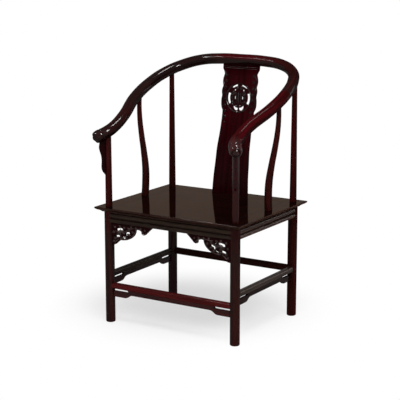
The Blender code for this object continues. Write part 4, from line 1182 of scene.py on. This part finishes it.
# The side rails' olive brown is a painted reflection of the pale room, with a paler brown for their
# painted light. The front rails' lacquer is a lighter red copy, painted as lit from the front. The
# carving's pale pink-grey makes painted highlights, and the seat's brown is painted light on its
# moulded edges.
WOODS = {
    "frame": lacquered_wood(
        "frame_lacquer", (0.008, 0.0034, 0.002), (0.017, 0.0066, 0.004),
        (0.058, 0.0026, 0.0038), 0.13, 0.14, 0.36,
    ),
    "seat": lacquered_wood(
        "seat_lacquer", (0.0045, 0.0008, 0.0005), (0.0085, 0.0014, 0.0008),
        (0.048, 0.024, 0.018), 0.078, 0.03, metal=0.075, dull=0.12,
    ),
    "carved": lacquered_wood(
        "carved_lacquer", (0.005, 0.0004, 0.0006), (0.01, 0.0008, 0.0014),
        (0.042, 0.0014, 0.0034), 0.05, 0.14, 0.6,
    ),
    "carving": lacquered_wood(
        "carving_lacquer", (0.004, 0.0006, 0.0006), (0.01, 0.0016, 0.0014),
        (0.09, 0.056, 0.05), 0.65, 0.12,
    ),
    "crest": lacquered_wood("crest_lacquer", DEEP, MIDDLE, PAINTED_LIGHT_COLOUR, 0.095, 0.12, 0.7),
    "rail": lacquered_wood(
        "side_rail_lacquer", (0.0112, 0.0066, 0.0038), (0.023, 0.0138, 0.008),
        (0.15, 0.086, 0.069), 0.085, 0.2, 0.5,
    ),
    "red": lacquered_wood(
        "lit_front_rail_lacquer", (0.02, 0.003, 0.0025), (0.045, 0.005, 0.004),
        (0.086, 0.0095, 0.0095), 0.2, 0.14, 0.6,
    ),
}
PEG_WOOD = lacquered_wood("peg_lacquer", DEEP, MIDDLE, PAINTED_LIGHT_COLOUR, 0.095, 0.12, carried=True)


def dress(piece, wood, *nodes):
    """Give a finished piece its wood and its place in the chair."""
    piece.data.materials.clear()
    piece.data.materials.append(WOODS[wood])
    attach(piece, "root")
    if nodes:
        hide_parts(*nodes)


def finish_pegs():
    """The locking pegs stay as they are, in the crest's wood."""
    for label in ("left", "right"):
        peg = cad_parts["crest_peg_" + label]
        for spot in peg.material_slots:
            spot.material = PEG_WOOD


# Studio

FLOOR_GREY = (0.92, 0.92, 0.92, 1)
WHITE = (1, 1, 1, 1)
# Least share of white on the floor, round the shadow's middle, and where all of it is white
FLOOR_LIFT = 0.6
SHADOW_MIDDLE = (-0.14, 0.11, 0)
SHADOW_RADIUS = 0.18
SHADOW_END = 0.62
WORLD_LIGHT = 0.3


def make_floor():
    """A pale floor that keeps the chair's soft shadow and runs out to white."""
    clear_selection()
    bpy.ops.mesh.primitive_plane_add(size=40)
    floor = named("studio_floor")
    material = bpy.data.materials.new("studio_white")
    material.use_nodes = True
    finish = Finish(material.node_tree)
    nodes = material.node_tree.nodes
    shader = nodes["Principled BSDF"]
    finish.fill(shader, {"Base Color": FLOOR_GREY, "Roughness": 1.0, "Specular IOR Level": 0.0})
    ends = {0: finish.node("ShaderNodeTexCoord", out="Object"), 1: SHADOW_MIDDLE}
    reach = finish.node("ShaderNodeVectorMath", {"operation": "DISTANCE"}, ends, out="Value")
    far = finish.between(reach, SHADOW_RADIUS, SHADOW_END)
    white = finish.node("ShaderNodeEmission", None, {"Color": WHITE, "Strength": 1.0})
    share = finish.shown() * (far * (1 - FLOOR_LIFT) + FLOOR_LIFT)
    parts = {0: share, 1: Tone(finish, shader.outputs[0]), 2: white}
    mixed = finish.node("ShaderNodeMixShader", None, parts)
    finish.fill(nodes["Material Output"], {"Surface": mixed})
    floor.data.materials.append(material)


def make_world():
    """White where the camera or a reflection sees it, a soft grey as light."""
    world = bpy.data.worlds.new("studio")
    world.use_nodes = True
    bpy.context.scene.world = world
    finish = Finish(world.node_tree)
    strength = finish.shown() * (1 - WORLD_LIGHT) + WORLD_LIGHT
    finish.fill(world.node_tree.nodes["Background"], {"Color": WHITE, "Strength": strength})


def add_lamp(name, place, target, size, power, lights=True, gleams=True):
    """A rectangular softbox facing a point, as light, as a highlight on the lacquer, or both."""
    clear_selection()
    bpy.ops.object.light_add(type="AREA", location=place)
    lamp = bpy.context.object
    lamp.name = name
    lamp.data.shape = "RECTANGLE"
    lamp.data.size, lamp.data.size_y = size
    lamp.data.energy = power
    lamp.visible_diffuse = lights
    lamp.visible_glossy = gleams
    lamp.rotation_euler = (Vector(target) - Vector(place)).to_track_quat("-Z", "Y").to_euler()


def add_lamps():
    """Two softboxes that light the wood, and four strips that only its lacquer shows."""
    add_lamp("ceiling_softbox", (1.1, -1.05, 3.2), (0, -0.1, 0.2), (1.5, 1.2), 64, gleams=False)
    add_lamp("front_fill", (0.6, -3.2, 1.4), (0, 0, 0.4), (1.6, 1.2), 13, gleams=False)
    add_lamp("overhead_strip", (0.55, 0.4, 3.1), (0.55, 0.4, 0.9), (0.45, 0.5), 100, lights=False)
    add_lamp("right_strip", (1.97, -0.9, 2.48), (0, 0, 0.8), (0.6, 0.75), 230, lights=False)
    add_lamp("front_strip", (-1.43, -1.58, 2.86), (0, 0, 0.9), (0.36, 0.45), 110, lights=False)
    add_lamp("back_right_strip", (1.65, 2.45, 1.2), (0, 0, 0.6), (0.3, 1.6), 16, lights=False)


def add_camera():
    """The photograph's view: a long lens from the front right, a little above the seat."""
    azimuth, elevation, distance = radians(31.829), radians(12.314), 4.8953
    level = cos(elevation)
    back = Vector((sin(azimuth) * level, -cos(azimuth) * level, sin(elevation)))
    right = Vector((cos(azimuth), sin(azimuth), 0))
    data = bpy.data.cameras.new("camera")
    camera = bpy.data.objects.new("camera", data)
    bpy.context.scene.collection.objects.link(camera)
    pose = Matrix((right, back.cross(right), back)).transposed().to_4x4()
    pose.translation = Vector((0, MIDDLE_Y, 0.45)) + back * distance
    camera.matrix_world = pose
    data.lens = 114.147
    data.shift_x, data.shift_y = -0.00452, 0.01545
    bpy.context.scene.camera = camera


make_legs()
make_seat_frame()
make_seat_panel()
make_seat_battens()
make_bead_rails()
make_stretchers()
make_crest()
make_splat()
make_side_posts()
make_spandrels()
make_grip_brackets()
finish_pegs()
make_floor()
make_world()
add_lamps()
add_camera()
bpy.context.scene.view_settings.view_transform = "Standard"
clear_selection()
